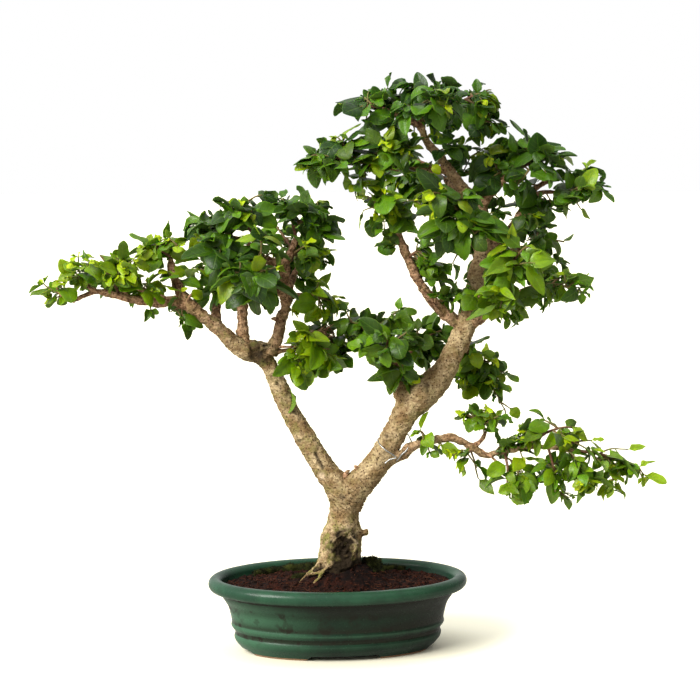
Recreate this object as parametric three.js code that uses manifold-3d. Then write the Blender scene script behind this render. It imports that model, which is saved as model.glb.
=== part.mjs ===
// A privet bonsai in a glazed oval pot.
// The pot stands on four feet round the origin, +Z is up, and every length is in millimetres.
// The tree has its own group, turned a little against the pot. In that group x runs to the right
// of the tree's best side, y runs away from the viewer and z runs up.
import * as THREE from "three";
import { mergeVertices } from "three/addons/utils/BufferGeometryUtils.js";
import Module from "manifold-3d";

const wasm = await Module();
wasm.setup();

// Gap kept between pieces that touch
const CLEARANCE = 0.35;
// Shortest edge that is kept where solids were joined or cut
const FINEST_EDGE = 0.02;

// Pot: an oval ring line, from which every wall point is offset along the oval's normal
const OVAL_HALF_LENGTH = 121;
const OVAL_HALF_WIDTH = 79;
const OVAL_SIDES = 28;
const RIM_HEIGHT = 68;
const RIM_RADIUS = 7;
const RIM_SIDES = 6;
const FOOT_HEIGHT = 5;
const FLOOR_TOP = 11;
const FOOT_GAP_FRONT = 74;
const FOOT_GAP_END = 44;
const DRAIN_RADIUS = 8;
const DRAIN_REACH = 48;
const DRAIN_SIDES = 14;

// Wall points as [offset from the oval line, height]
const OUTER_WALL = [
  [-29, 0],
  [-24.5, 5.5],
  [-20, 11],
  [-18.5, 15.5],
  [-19.4, 20.5],
  [-15.6, 26.5],
  [-16, 32],
  [-12.5, 46],
  [-7, 55],
];
const INNER_WALL = [
  [-8.5, 63],
  [-13.5, 53],
  [-22, 33],
  [-28, FLOOR_TOP],
];
const FOOT_INSIDE = [
  [-40, FOOT_HEIGHT],
  [-39, 0],
];

// Drain screens: square plastic mesh over each drain hole
const SCREEN_SIDE = 30;
const SCREEN_THICKNESS = 1.2;
const SCREEN_CELLS = 2;
const SCREEN_BAR = 2.4;

// Soil: its edge as [offset, height], then its rise to the trunk's foot as [share of the edge, height]
const SOIL_EDGE = [-8.3, 66];
const SOIL_RISE = [
  [0.72, 67.5],
  [0.3, 70.5],
];
const SOIL_PEAK = 71.5;

// Tree
const TREE_TURN = THREE.MathUtils.degToRad(-7);
const THICK_WOOD = 9;
const THICK_SIDES = 7;
const BRANCH_SIDES = 5;
const TWIG_WOOD = 3.6;
const TWIG_SIDES = 4;

// Branches as centre points [x, y, z, radius]
const BRANCHES = {
  trunk: [
    [3, 0, 36, 15], [1, 0, 64, 23.5], [1, -1, 85, 22.5], [2, -2, 104, 21], [5, -1, 122, 18],
    [6, 0, 135, 15], [8, 0, 146, 16.5], [9, 0, 157, 17.5],
  ],
  left_trunk: [
    [8, 0, 147, 15], [3, 0, 161, 15.5], [-7, 2, 178, 13], [-26, 6, 208, 11.6], [-46, 10, 241, 10.6],
    [-62, 9, 272, 10], [-75, 6, 295, 10.5],
  ],
  right_trunk: [
    [9, 0, 147, 15], [15, -1, 160, 16], [29, -3, 175, 13.8], [53, -8, 211, 13], [64, -10, 230, 13.5],
    [72, -11, 247, 16], [84, -11, 260, 16], [101, -8, 278, 11.8], [116, -3, 306, 10.4],
    [128, 3, 333, 11], [136, 8, 369, 9.3], [145, 9, 405, 8], [145, 8, 427, 7.6], [137, 6, 441, 8],
    [118, 0, 464, 6.4], [99, -6, 490, 5.4], [84, -9, 510, 4.4], [81, -10, 535, 3], [89, -12, 548, 2.2],
  ],
  left_knot: [[-74, 7, 283, 9], [-78, 5, 298, 13.5], [-75, 4, 312, 11.5]],
  elbow_knob: [[75, -11, 252, 9.5], [63, -11, 269, 7.5]],
  trunk_stub: [[17, -3, 116, 7], [30, -4, 119, 4]],
  left_main: [
    [-75, 6, 297, 10], [-91, 3, 299, 9.8], [-115, -3, 319, 7.2], [-139, -8, 340, 6],
    [-159, -10, 349, 5], [-184, -12, 349, 4.6], [-210, -15, 354, 4], [-234, -17, 359, 2.8],
    [-247, -18, 355, 2.2], [-258, -20, 350, 1.7],
  ],
  left_rise: [[-142, -8, 342, 5.6], [-153, -9, 355, 5], [-162, -6, 379, 3.8], [-164, -4, 392, 2.9]],
  left_twig: [[-156, -13, 349, 2.8], [-182, -21, 357, 2.3], [-205, -22, 369, 1.8]],
  left_back: [[-122, 0, 325, 5], [-121, 22, 340, 4], [-119, 42, 354, 3]],
  middle_upright: [
    [-90, 5, 299, 7.5], [-94, 9, 325, 5.6], [-96, 13, 352, 4.8], [-101, 16, 378, 3.6],
    [-107, 16, 394, 2.7],
  ],
  right_upright: [
    [-69, 4, 298, 8], [-61, 2, 310, 6.6], [-56, 2, 330, 5.7], [-50, 0, 352, 5.2], [-53, -3, 381, 5],
    [-65, -5, 388, 4], [-75, -9, 393, 3.5], [-82, -11, 407, 2.8], [-84, -12, 417, 2.4],
  ],
  upright_fork: [[-53, -2, 382, 4], [-46, 4, 397, 3.2], [-41, 9, 410, 2.6]],
  upright_twig: [[-49, 1, 353, 2.6], [-22, 7, 355, 1.9]],
  crown_twig: [[-80, -11, 400, 2.4], [-108, -18, 413, 1.7]],
  front_left: [[-51, -2, 350, 3.8], [-58, -22, 361, 3.2], [-67, -38, 372, 2.5]],
  back_middle: [[-50, 0, 361, 4], [-44, 22, 372, 3.4], [-39, 40, 383, 2.6]],
  knot_right: [[-71, 4, 296, 4.5], [-53, 4, 299, 2.9], [-38, 2, 301, 2.1]],
  pad_branch: [
    [66, -12, 264, 6.5], [60, 0, 281, 4.6], [47, 14, 293, 3.6], [29, 20, 299, 3], [8, 24, 304, 2.6],
  ],
  pad_back: [[59, 4, 283, 4], [70, 28, 292, 2.9]],
  pad_front: [[63, -8, 274, 3.8], [57, -28, 289, 2.7]],
  trunk_back: [[116, -2, 305, 5], [130, 22, 296, 3.3], [139, 34, 285, 2.4]],
  left_branch: [
    [122, 0, 324, 7], [110, 0, 333, 5.8], [90, -5, 353, 5], [74, -10, 378, 4.5], [63, -12, 406, 4],
    [54, -14, 427, 3.7], [45, -18, 441, 2.8],
  ],
  right_limb: [[124, 0, 323, 8], [143, -7, 335, 5], [165, -16, 351, 4], [201, -24, 366, 3]],
  right_rise: [[137, 6, 441, 5.4], [153, 3, 457, 4], [179, -2, 479, 2.8]],
  right_arm: [
    [144, 9, 398, 5.4], [173, 14, 421, 4], [186, 18, 447, 3.4], [196, 20, 459, 3],
    [211, 22, 467, 2.6], [227, 24, 468, 2.2],
  ],
  right_arm_twig: [[187, 18, 449, 2.6], [219, 10, 454, 2]],
  top_left: [[80, -10, 520, 3.2], [60, -16, 529, 2.7], [42, -21, 537, 2.2]],
  top_right: [[81, -10, 533, 2.9], [118, 1, 542, 2.2]],
  top_back: [[80, -9, 521, 3.4], [90, 16, 531, 2.6]],
  top_front: [[81, -12, 527, 3], [82, -34, 534, 2.3]],
  left_upper: [[108, -3, 477, 4.8], [72, -16, 477, 3.5], [40, -26, 481, 2.8], [11, -32, 490, 2.2]],
  centre_back: [[127, 3, 452, 5.4], [118, 32, 457, 4.2], [108, 56, 466, 3]],
  centre_front: [[143, 8, 420, 5], [131, -22, 428, 4], [120, -46, 438, 3]],
  low_back: [[134, 7, 357, 5.4], [140, 36, 372, 4.2], [145, 60, 383, 3]],
  right_front: [[132, 5, 347, 5], [143, -24, 359, 3.9], [152, -46, 371, 3]],
  right_back: [[141, 9, 386, 5], [165, 34, 392, 3.8], [187, 54, 397, 2.8]],
  low_right: [
    [51, -8, 196, 7], [66, -14, 200, 5], [83, -17, 210, 4.4], [106, -21, 216, 4], [129, -23, 208, 3.7],
    [146, -24, 199, 2.9], [173, -26, 205, 2.6], [209, -28, 207, 2.2], [232, -29, 204, 1.9],
  ],
  low_right_up: [[132, -23, 206, 2.6], [145, -28, 224, 1.7]],
  low_right_fork: [[178, -26, 205, 2.3], [204, -22, 221, 1.8]],
};

// Surface roots as centre points [x, y, z, radius]: they leave the trunk's foot and dive into the soil
const ROOTS = {
  root_left: [[-10, 0, 90, 9], [-22, -5, 76, 6], [-38, -14, 63, 3]],
  root_front_left: [[-7, -9, 88, 8], [-15, -23, 74, 5], [-22, -42, 61, 3]],
  root_right: [[12, 2, 86, 9], [25, 7, 74, 6], [46, 14, 60, 3]],
  root_back: [[0, 12, 86, 9], [-5, 27, 73, 6], [-16, 50, 60, 3]],
};

// The healed wound low on the trunk: a raised collar round a hollow, as [x, y, z, radius]
const WOUND_COLLAR = [[5, -10, 103, 15], [5, -24, 103, 12.5]];
const WOUND_HOLLOW = [[5, -15, 103, 5], [5, -27, 103, 9.5]];
const WOUND_SIDES = 8;

// Tie wire: once round the right trunk over the low branch, with its two ends twisted in front
const WIRE_RADIUS = 0.7;
const WIRE_SIDES = 3;
const WIRE_ROUTE = [
  [46, -19.5, 190], [51, -19, 194], [57, -20, 196], [51, -21.5, 201], [47, -21.5, 204], [44, -21, 207],
  [40, -18, 209.5], [37, -12, 212], [37, -5, 213], [40.5, 1, 214], [46, 4, 216], [52.5, 6, 217.5],
  [58.5, 6, 218], [65.5, 3.5, 217], [69.5, -0.5, 215.5], [71, -6, 213], [72.5, -12, 210],
  [70.5, -15.5, 210], [68.5, -20, 205.5], [66, -20.5, 202], [62.5, -20, 199], [59.5, -18, 194.5],
  [57.5, -16.5, 192],
];

// Moss cushions as centre and half sizes in the pot's frame, and the strip along the back rim
const MOSS_MOUNDS = {
  moss_right: { centre: [32, 4, 70], half: [13, 15, 15] },
  moss_left: { centre: [-34, 8, 69], half: [15, 11, 6] },
};
const MOSS_STRIP = { offset: -16, from: 48, to: 138, steps: 8, height: 66.5, thick: 5, thin: 2 };
const MOSS_SIDES = 8;

// Leaves, true size; each is a blade with two edges and a keel below its midrib
const LEAF_LENGTH = [28, 40];
const LEAF_WIDTH_SHARE = 0.29;
const LEAF_THICKNESS = 1.2;
const LEAF_CURL = 0.16;
const LEAF_WAVE = 0.7;
const LEAF_STATIONS = [[0.36, 1], [0.72, 0.8]];
// The leaf's stalk, as half width and half thickness: it ends where the blade starts
const STALK_ROOT = [0.32, 0.3];
const STALK_NECK = [0.5, 0.35];
const NECK_SHARE = 0.12;

// Shoots: three-sided, as root and tip radius, with a leaf at the end and pairs of leaves on the way
const MAIN_SHOOT = { steps: 2, radii: [1.7, 1.3] };
const SIDE_SHOOT = { steps: 1, radii: [0.9, 1] };
const SHOOT_ARCH = 0.14;
const LEAF_SHARE_OF_REACH = 0.6;
const SIDE_SHOOT_SHARES = [0.35, 0.55, 0.72];
const PAIR_SHARES = [0.8, 0.4];
const PAIR_TURNS = [0.2, 1.2];
// A spray with this many tips or more has one pair of leaves on its main shoot, the others have two
const FULL_SPRAY = 4;
const PAIR_STAGGER = 0.025;
const PAIR_SPREAD = 0.8;
// Where the leaves' upper faces look: up and a little to the front
const LIGHT = new THREE.Vector3(0.1, -0.4, 1).normalize();

// Leafy shoots as the branch they grow on, where along it, and the points that their leaf tips reach
const SPRAYS = {
  left_tip: ["left_main", 1, [[-296, -22, 369], [-289, -12, 348], [-270, -34, 379]]],
  left_far: ["left_main", 0.9, [[-268, -8, 389], [-245, -34, 399]]],
  left_low: ["left_main", 0.77, [[-235, 12, 394], [-234, 38, 370]]],
  left_between: ["left_main", 0.6, [[-181, -44, 371], [-208, 14, 370]]],
  left_hanging: ["left_main", 0.45, [[-174, -10, 333], [-152, -14, 319]]],
  left_twig: ["left_twig", 1, [[-238, -44, 384], [-221, -20, 400], [-201, -48, 390]]],
  left_rise: ["left_rise", 1, [[-203, -4, 409], [-170, 8, 420], [-141, -24, 406], [-197, 26, 383]]],
  left_back: ["left_back", 1, [[-149, 84, 401], [-102, 80, 392], [-172, 66, 374], [-89, 60, 361]]],
  middle_top: ["middle_upright", 1, [[-145, 2, 435], [-115, 28, 445], [-130, -14, 398]]],
  middle_side: ["middle_upright", 0.62, [[-130, 30, 359], [-76, 30, 347]]],
  crown_left: ["right_upright", 1, [[-120, -20, 444], [-77, -28, 451], [-100, 6, 457]]],
  crown_twig: ["crown_twig", 1, [[-148, -20, 410], [-113, -44, 388]]],
  crown_hanging: ["right_upright", 0.76, [[-95, -36, 347], [-72, -56, 423]]],
  fork_top: ["upright_fork", 1, [[-53, 4, 457], [-6, 14, 441], [0, 28, 415], [-27, -20, 452]]],
  fork_side: ["upright_fork", 0.45, [[-16, 18, 384], [-25, -28, 410]]],
  front_left: ["front_left", 1, [[-109, -82, 385], [-71, -84, 411], [-44, -66, 391], [-63, -46, 351]]],
  back_middle: ["back_middle", 1, [[-71, 84, 430], [-16, 80, 416], [-4, 62, 381], [-41, 70, 352]]],
  upright_twig: ["upright_twig", 1, [[2, 12, 348], [-16, -4, 324]]],
  knot_right: ["knot_right", 1, [[8, -18, 292], [-12, 15, 278], [-36, -18, 327]]],
  knot_hanging: ["knot_right", 0.55, [[-38, 2, 262], [-51, -10, 279]]],
  pad_end: ["pad_branch", 1, [[-46, 32, 315], [-20, 48, 333], [12, 40, 269]]],
  pad_middle: ["pad_branch", 0.62, [[14, 2, 337], [38, 34, 329]]],
  pad_back: ["pad_back", 1, [[116, 66, 321], [84, 80, 326], [104, 70, 290]]],
  pad_front: ["pad_front", 1, [[38, -70, 334], [11, -56, 311], [81, -50, 334], [39, -38, 267]]],
  trunk_back: ["trunk_back", 1, [[172, 54, 266], [164, 50, 235], [155, 40, 300], [126, 44, 253]]],
  low_tip: ["low_right", 1, [[306, -32, 192], [280, -48, 169], [292, -16, 175]]],
  low_outer: ["low_right", 0.88, [[260, -8, 214], [250, -50, 167]]],
  low_middle: ["low_right", 0.76, [[220, -24, 146], [221, 4, 172]]],
  low_inner: ["low_right", 0.64, [[165, -50, 157], [199, -12, 170]]],
  low_first: ["low_right", 0.46, [[113, -32, 182], [142, -14, 159]]],
  low_single: ["low_right", 0.22, [[74, -28, 233], [92, -30, 193]]],
  low_up: ["low_right_up", 1, [[112, -20, 249], [169, -38, 248]]],
  low_fork: ["low_right_fork", 1, [[248, -10, 232], [227, -44, 221], [193, -12, 246]]],
  top_left: ["top_left", 1, [[-6, -26, 533], [19, -14, 554], [27, -40, 518]]],
  top_leader: ["right_trunk", 1, [[110, -14, 560], [78, -4, 564], [58, -24, 558]]],
  top_right: ["top_right", 1, [[158, 8, 556], [151, -14, 523], [134, 26, 557]]],
  top_back: ["top_back", 1, [[83, 70, 558], [145, 62, 536], [111, 44, 553]]],
  top_front: ["top_front", 1, [[58, -82, 534], [107, -78, 544], [87, -66, 514]]],
  left_upper: ["left_upper", 1, [[-36, -38, 476], [-19, -22, 510], [2, -52, 459]]],
  left_upper_side: ["left_upper", 0.5, [[33, -8, 520], [61, -46, 506]]],
  left_branch: ["left_branch", 1, [[8, -8, 452], [44, -50, 470], [33, -16, 409]]],
  left_branch_side: ["left_branch", 0.62, [[94, -36, 405], [99, -24, 365]]],
  centre_back: ["centre_back", 1, [[55, 112, 497], [95, 100, 438], [63, 66, 459]]],
  centre_front: ["centre_front", 1, [[80, -96, 464], [125, -93, 470], [102, -66, 403], [140, -74, 405]]],
  right_rise: ["right_rise", 1, [[225, -8, 496], [204, 18, 508], [172, 24, 512], [163, -34, 453]]],
  right_arm: ["right_arm", 1, [[273, 30, 452], [255, 44, 486], [222, 46, 434]]],
  right_arm_twig: ["right_arm_twig", 1, [[235, -16, 438], [255, -8, 463]]],
  right_limb: ["right_limb", 1, [[245, -36, 351], [237, -8, 384], [205, -14, 331], [173, -44, 334]]],
  right_front: ["right_front", 1, [[192, -92, 423], [209, -82, 398], [150, -70, 331], [157, -72, 416]]],
  right_back: ["right_back", 1, [[258, 92, 401], [219, 94, 432], [206, 78, 353]]],
  low_back: ["low_back", 1, [[116, 126, 419], [176, 131, 417], [187, 95, 352], [110, 70, 368]]],
};

// Ways to bend a shoot clear of its neighbours: shift of its middle as [x, y, z], and the share of it
// that the tip follows
const SHOOT_BENDS = [
  [0, 0, 0], [0, 0, 9], [0, 8, 0], [0, -8, 0], [8, 0, 0], [-8, 0, 0], [0, 0, -9],
  [0, 14, 6], [0, -14, 6], [14, 0, 6], [-14, 0, 6], [0, 0, 18], [0, 22, 0], [0, -22, 0],
];
const TIP_SHARE_OF_BEND = 0.5;
// Sizes that a leaf at a shoot's end may take, the largest that is clear
const END_LEAF_SIZES = [1, 0.85, 0.7];
// Ways to turn a leaf clear of its neighbours: [turn about the shoot, extra droop, size]
const LEAF_TURNS = [
  [0, 0, 1], [0.5, 0, 1], [-0.5, 0, 1], [0, 0.5, 1], [0, -0.5, 1],
  [0.9, 0.2, 0.9], [-0.9, 0.2, 0.9], [1.5, 0, 0.85], [-1.5, 0, 0.85], [0, 0.9, 0.8],
];

// Materials, one maker for each finish; every mesh gets its own
const FINISHES = {
  glaze: { color: 0x2a6248, roughness: 0.3, metalness: 0 },
  soil: { color: 0x33211a, roughness: 1, metalness: 0 },
  bark: { color: 0x9c8465, roughness: 0.85, metalness: 0 },
  leaf: { color: 0x356f1e, roughness: 0.45, metalness: 0 },
  moss: { color: 0x3a4519, roughness: 1, metalness: 0 },
  wire: { color: 0xb8b8b4, roughness: 0.35, metalness: 0.9 },
  mesh: { color: 0x1f2320, roughness: 0.6, metalness: 0 },
};

const UP = new THREE.Vector3(0, 0, 1);

// Any closed geometry as a solid that can be joined and cut
function solidFrom(geometry) {
  const bare = new THREE.BufferGeometry();
  bare.setAttribute("position", geometry.getAttribute("position"));
  if (geometry.index) bare.setIndex(geometry.index);
  const merged = mergeVertices(bare, 1e-4);
  return new wasm.Manifold(
    new wasm.Mesh({
      numProp: 3,
      vertProperties: new Float32Array(merged.getAttribute("position").array),
      triVerts: new Uint32Array(merged.index.array),
    }),
  );
}

function geometryFrom(solid) {
  const mesh = solid.getMesh();
  const geometry = new THREE.BufferGeometry();
  geometry.setAttribute("position", new THREE.BufferAttribute(mesh.vertProperties, 3));
  geometry.setIndex(new THREE.BufferAttribute(mesh.triVerts, 1));
  geometry.computeVertexNormals();
  return geometry;
}

function addNode(group, name, solid, finish) {
  const geometry = geometryFrom(solid.simplify(FINEST_EDGE));
  const mesh = new THREE.Mesh(geometry, new THREE.MeshStandardMaterial(FINISHES[finish]));
  mesh.name = name;
  group.add(mesh);
  return mesh;
}

const join = (solids) => solids.reduce((whole, solid) => whole.add(solid));

// The largest body of a solid, so that a scrap cut loose is dropped
function largestBody(solid) {
  return solid.decompose().reduce((best, body) => (body.volume() > best.volume() ? body : best));
}

const overlaps = (a, b) => a.intersect(b).volume() > 0;

// A closed skin over rings of points. A ring of one point is a pole, and a first or last ring of
// several points is closed by a flat face.
function skin(rings) {
  const positions = [];
  const starts = rings.map((ring) => {
    const start = positions.length / 3;
    ring.forEach((point) => positions.push(...point));
    return start;
  });
  const index = [];
  for (let r = 0; r + 1 < rings.length; r += 1) {
    const here = rings[r].length;
    const next = rings[r + 1].length;
    const sides = Math.max(here, next);
    for (let k = 0; k < sides; k += 1) {
      const a = starts[r] + (k % here);
      const b = starts[r] + ((k + 1) % here);
      const c = starts[r + 1] + (k % next);
      const d = starts[r + 1] + ((k + 1) % next);
      if (here > 1) index.push(a, b, d);
      if (next > 1) index.push(a, d, c);
    }
  }
  const last = rings.length - 1;
  for (let k = 1; k + 1 < rings[0].length; k += 1) index.push(0, k + 1, k);
  for (let k = 1; k + 1 < rings[last].length; k += 1) {
    index.push(starts[last], starts[last] + k, starts[last] + k + 1);
  }
  const geometry = new THREE.BufferGeometry();
  geometry.setAttribute("position", new THREE.Float32BufferAttribute(positions, 3));
  geometry.setIndex(index);
  return geometry;
}

// A tapered tube through points [x, y, z, radius], with extra added to its radius and to both ends
function tube(points, sides, extra = 0) {
  const centres = points.map(([x, y, z]) => new THREE.Vector3(x, y, z));
  const last = centres.length - 1;
  const tangents = centres.map((_, k) => {
    const before = centres[Math.max(k - 1, 0)];
    const after = centres[Math.min(k + 1, last)];
    return after.clone().sub(before).normalize();
  });
  centres[0].addScaledVector(tangents[0], -extra);
  centres[last].addScaledVector(tangents[last], extra);
  const sideways = Math.abs(tangents[0].z) > 0.9 ? new THREE.Vector3(1, 0, 0) : UP;
  const across = new THREE.Vector3().crossVectors(tangents[0], sideways).normalize();
  const rings = centres.map((centre, k) => {
    across.addScaledVector(tangents[k], -across.dot(tangents[k])).normalize();
    const over = new THREE.Vector3().crossVectors(tangents[k], across);
    const radius = points[k][3] + extra;
    return Array.from({ length: sides }, (_, s) => {
      const angle = (2 * Math.PI * s) / sides;
      const point = centre.clone();
      point.addScaledVector(across, radius * Math.cos(angle));
      point.addScaledVector(over, radius * Math.sin(angle));
      return point.toArray();
    });
  });
  return solidFrom(skin(rings));
}

// The oval's points at an offset along its normal
function ovalRing(offset, height) {
  return Array.from({ length: OVAL_SIDES }, (_, k) => {
    const angle = (2 * Math.PI * (k + 0.5)) / OVAL_SIDES;
    return ovalPoint(angle, offset, height);
  });
}

function ovalPoint(angle, offset, height) {
  const normal = new THREE.Vector2(
    OVAL_HALF_WIDTH * Math.cos(angle),
    OVAL_HALF_LENGTH * Math.sin(angle),
  ).normalize();
  return [
    OVAL_HALF_LENGTH * Math.cos(angle) + offset * normal.x,
    OVAL_HALF_WIDTH * Math.sin(angle) + offset * normal.y,
    height,
  ];
}

function box(size, centre) {
  const geometry = new THREE.BoxGeometry(...size);
  geometry.translate(...centre);
  return solidFrom(geometry);
}

// The pot: one skin from under the floor, round the foot, up the wall, over the rim and down inside
function makePot() {
  const rim = Array.from({ length: RIM_SIDES }, (_, k) => {
    const angle = THREE.MathUtils.degToRad(-50 + (225 * k) / (RIM_SIDES - 1));
    return [RIM_RADIUS * Math.cos(angle), RIM_HEIGHT + RIM_RADIUS * Math.sin(angle)];
  });
  const profile = [...FOOT_INSIDE, ...OUTER_WALL, ...rim, ...INNER_WALL];
  const rings = profile.map(([offset, height]) => ovalRing(offset, height));
  let pot = solidFrom(skin([[[0, 0, FOOT_HEIGHT]], ...rings, [[0, 0, FLOOR_TOP]]]));
  const reach = 4 * OVAL_HALF_LENGTH;
  const gapCentre = [0, 0, FOOT_HEIGHT / 2 - 1];
  pot = pot.subtract(box([FOOT_GAP_FRONT, reach, FOOT_HEIGHT + 2], gapCentre));
  pot = pot.subtract(box([reach, FOOT_GAP_END, FOOT_HEIGHT + 2], gapCentre));
  for (const side of [-1, 1]) {
    const drain = new THREE.CylinderGeometry(DRAIN_RADIUS, DRAIN_RADIUS, 4 * FLOOR_TOP, DRAIN_SIDES);
    drain.rotateX(Math.PI / 2);
    drain.translate(side * DRAIN_REACH, 0, 0);
    pot = pot.subtract(solidFrom(drain));
  }
  return pot;
}

// One square of mesh: bars along both sides, fused where they cross
function makeScreen(side) {
  const pitch = (SCREEN_SIDE - SCREEN_BAR) / SCREEN_CELLS;
  const centre = [side * DRAIN_REACH, 0, FLOOR_TOP + CLEARANCE + SCREEN_THICKNESS / 2];
  const bars = [];
  for (let k = 0; k <= SCREEN_CELLS; k += 1) {
    const shift = k * pitch - (SCREEN_SIDE - SCREEN_BAR) / 2;
    bars.push(box([SCREEN_SIDE, SCREEN_BAR, SCREEN_THICKNESS], [centre[0], shift, centre[2]]));
    bars.push(box([SCREEN_BAR, SCREEN_SIDE, SCREEN_THICKNESS], [centre[0] + shift, 0, centre[2]]));
  }
  return join(bars);
}

// The soil body without holes: it follows the inner wall, then rises to the trunk's foot
function makeSoilBody() {
  const wall = INNER_WALL.slice()
    .reverse()
    .map(([offset, height]) => ovalRing(offset - CLEARANCE, height + CLEARANCE));
  const edge = ovalRing(...SOIL_EDGE);
  const surface = SOIL_RISE.map(([share, height]) =>
    edge.map(([x, y]) => [x * share, y * share, height]),
  );
  return solidFrom(
    skin([[[0, 0, FLOOR_TOP + CLEARANCE]], ...wall, edge, ...surface, [[0, 0, SOIL_PEAK]]]),
  );
}

const woodSides = (radius) =>
  radius > THICK_WOOD ? THICK_SIDES : radius > TWIG_WOOD ? BRANCH_SIDES : TWIG_SIDES;

// Trunk, branches and surface roots, grown as one; extra makes the same form a little fatter
function makeWood(extra = 0) {
  const limbs = [...Object.values(BRANCHES), ...Object.values(ROOTS)].map((points) =>
    tube(points, woodSides(points[0][3]), extra),
  );
  const collar = tube(WOUND_COLLAR, WOUND_SIDES, extra);
  const hollow = tube(WOUND_HOLLOW, WOUND_SIDES, -extra);
  return largestBody(join([...limbs, collar]).subtract(hollow));
}

// A repeatable number from 0 to 1 for each set of three counters
function chance(a, b, c) {
  const wave = Math.sin(a * 12.9898 + b * 78.233 + c * 37.719) * 43758.5453;
  return wave - Math.floor(wave);
}

// The point at a share of a branch's length
function pointAlong(points, share) {
  const centres = points.map(([x, y, z]) => new THREE.Vector3(x, y, z));
  const lengths = centres.slice(1).map((centre, k) => centre.distanceTo(centres[k]));
  let left = share * lengths.reduce((sum, length) => sum + length, 0);
  let k = 0;
  while (k < lengths.length - 1 && left > lengths[k]) {
    left -= lengths[k];
    k += 1;
  }
  return centres[k].clone().lerp(centres[k + 1], Math.min(left / lengths[k], 1));
}

// The direction at right angles to a line that looks to the light, rolled about the line
function facing(line, roll = 0) {
  const normal = LIGHT.clone().addScaledVector(line, -LIGHT.dot(line)).normalize();
  return normal.applyAxisAngle(line, roll);
}

// Three points across a blade or a shoot: left edge, keel and right edge
function ribRing(centre, line, normal, halfWidth, keel, lifts) {
  const across = new THREE.Vector3().crossVectors(normal, line).normalize();
  const point = (side, lift) => {
    return centre.clone().addScaledVector(across, side).addScaledVector(normal, lift).toArray();
  };
  return [point(-halfWidth, lifts[0]), point(0, -keel), point(halfWidth, lifts[1])];
}

// A shoot's centre line: a quadratic curve that arches up on its way to the root of its end leaf
function shootCurve(start, tip, shift, leafLength) {
  const reach = start.distanceTo(tip);
  const short = Math.min(leafLength, LEAF_SHARE_OF_REACH * reach);
  const end = start.clone().lerp(tip, 1 - short / reach);
  const middle = start.clone().lerp(end, 0.5);
  middle.addScaledVector(UP, SHOOT_ARCH * reach);
  middle.add(shift);
  return new THREE.QuadraticBezierCurve3(start, middle, end);
}

function shootRings(curve, { steps, radii }, extra = 0) {
  return curve.getPoints(steps).map((point, k) => {
    const tangent = curve.getTangent(k / steps);
    const radius = THREE.MathUtils.lerp(...radii, k / steps) + extra;
    return ribRing(point, tangent, facing(tangent), 0.87 * radius, radius, [radius / 2, radius / 2]);
  });
}

// The point and the direction at a share of a shoot, on its straight pieces
function spotOnShoot(curve, steps, share) {
  const piece = Math.min(Math.floor(share * steps), steps - 1);
  const points = curve.getPoints(steps);
  const from = points[piece];
  const to = points[piece + 1];
  return { point: from.clone().lerp(to, share * steps - piece), line: to.clone().sub(from).normalize() };
}

// A leaf's rings beyond its root: a drooping blade with a waved edge that ends in a point
function leafRings({ start, direction, normal, length, seed }, extra = 0) {
  const centre = (along) => {
    const point = start.clone().addScaledVector(direction, along * length);
    return point.addScaledVector(normal, -LEAF_CURL * length * along * along);
  };
  const rings = LEAF_STATIONS.map(([along, width], station) => {
    const lifts = [0, 1].map(
      (side) => LEAF_WAVE * (chance(seed[0], seed[1], seed[2] + side + station) - 0.5) + extra,
    );
    const halfWidth = width * LEAF_WIDTH_SHARE * length + extra;
    return ribRing(centre(along), direction, normal, halfWidth, LEAF_THICKNESS + extra, lifts);
  });
  return [...rings, [centre(1).toArray()]];
}

function stalkRing({ start, direction, normal, length }, share, [halfWidth, half], extra = 0) {
  const centre = start.clone().addScaledVector(direction, share * length);
  const lift = half + extra;
  return ribRing(centre, direction, normal, halfWidth + extra, lift, [lift, lift]);
}

// One leaf with its stalk
function leafBlade(leaf) {
  const stalk = [stalkRing(leaf, 0, STALK_ROOT), stalkRing(leaf, NECK_SHARE, STALK_NECK)];
  return solidFrom(skin([...stalk, ...leafRings(leaf)]));
}

// The same leaf without its stalk and a little fatter, to test what it would cross
function leafProbe(leaf) {
  return solidFrom(skin([stalkRing(leaf, NECK_SHARE, STALK_NECK, CLEARANCE), ...leafRings(leaf, CLEARANCE)]));
}

// Where one leaf of a pair points, and which way its upper face looks
function leafPose(tangent, side, turn, droop, seed) {
  const level = new THREE.Vector3().crossVectors(tangent, UP);
  if (level.lengthSq() < 0.02) level.set(1, 0, 0);
  level.normalize();
  const above = new THREE.Vector3().crossVectors(level, tangent);
  const angle = turn + 0.9 * (chance(...seed) - 0.5);
  const forward = PAIR_SPREAD * (0.6 + 0.5 * chance(seed[0], seed[2], 5));
  const direction = tangent.clone().multiplyScalar(forward);
  direction.addScaledVector(level, side * Math.cos(angle));
  direction.addScaledVector(above, side * Math.sin(angle));
  direction.z -= 0.15 + droop + 0.5 * chance(seed[1], seed[2], seed[0]);
  direction.normalize();
  return { direction, normal: facing(direction, 0.9 * (chance(seed[2], seed[0], 9) - 0.5)) };
}

// A leaf turned clear of the wood, of the other sprays and of the leaves already on its own spray
function clearLeaf({ curve, steps }, pair, side, seed, keepClearOf) {
  const { point, line } = spotOnShoot(curve, steps, PAIR_SHARES[pair] + side * PAIR_STAGGER);
  const length = THREE.MathUtils.lerp(...LEAF_LENGTH, chance(seed[0], seed[1], seed[2] + 11));
  for (const [turn, droop, size] of LEAF_TURNS) {
    const pose = leafPose(line, side, PAIR_TURNS[pair] + turn, droop, seed);
    const leaf = { start: point, ...pose, length: size * length, seed };
    const probe = leafProbe(leaf);
    if (!keepClearOf.some((solid) => overlaps(probe, solid))) return leafBlade(leaf);
  }
  return null;
}

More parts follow.
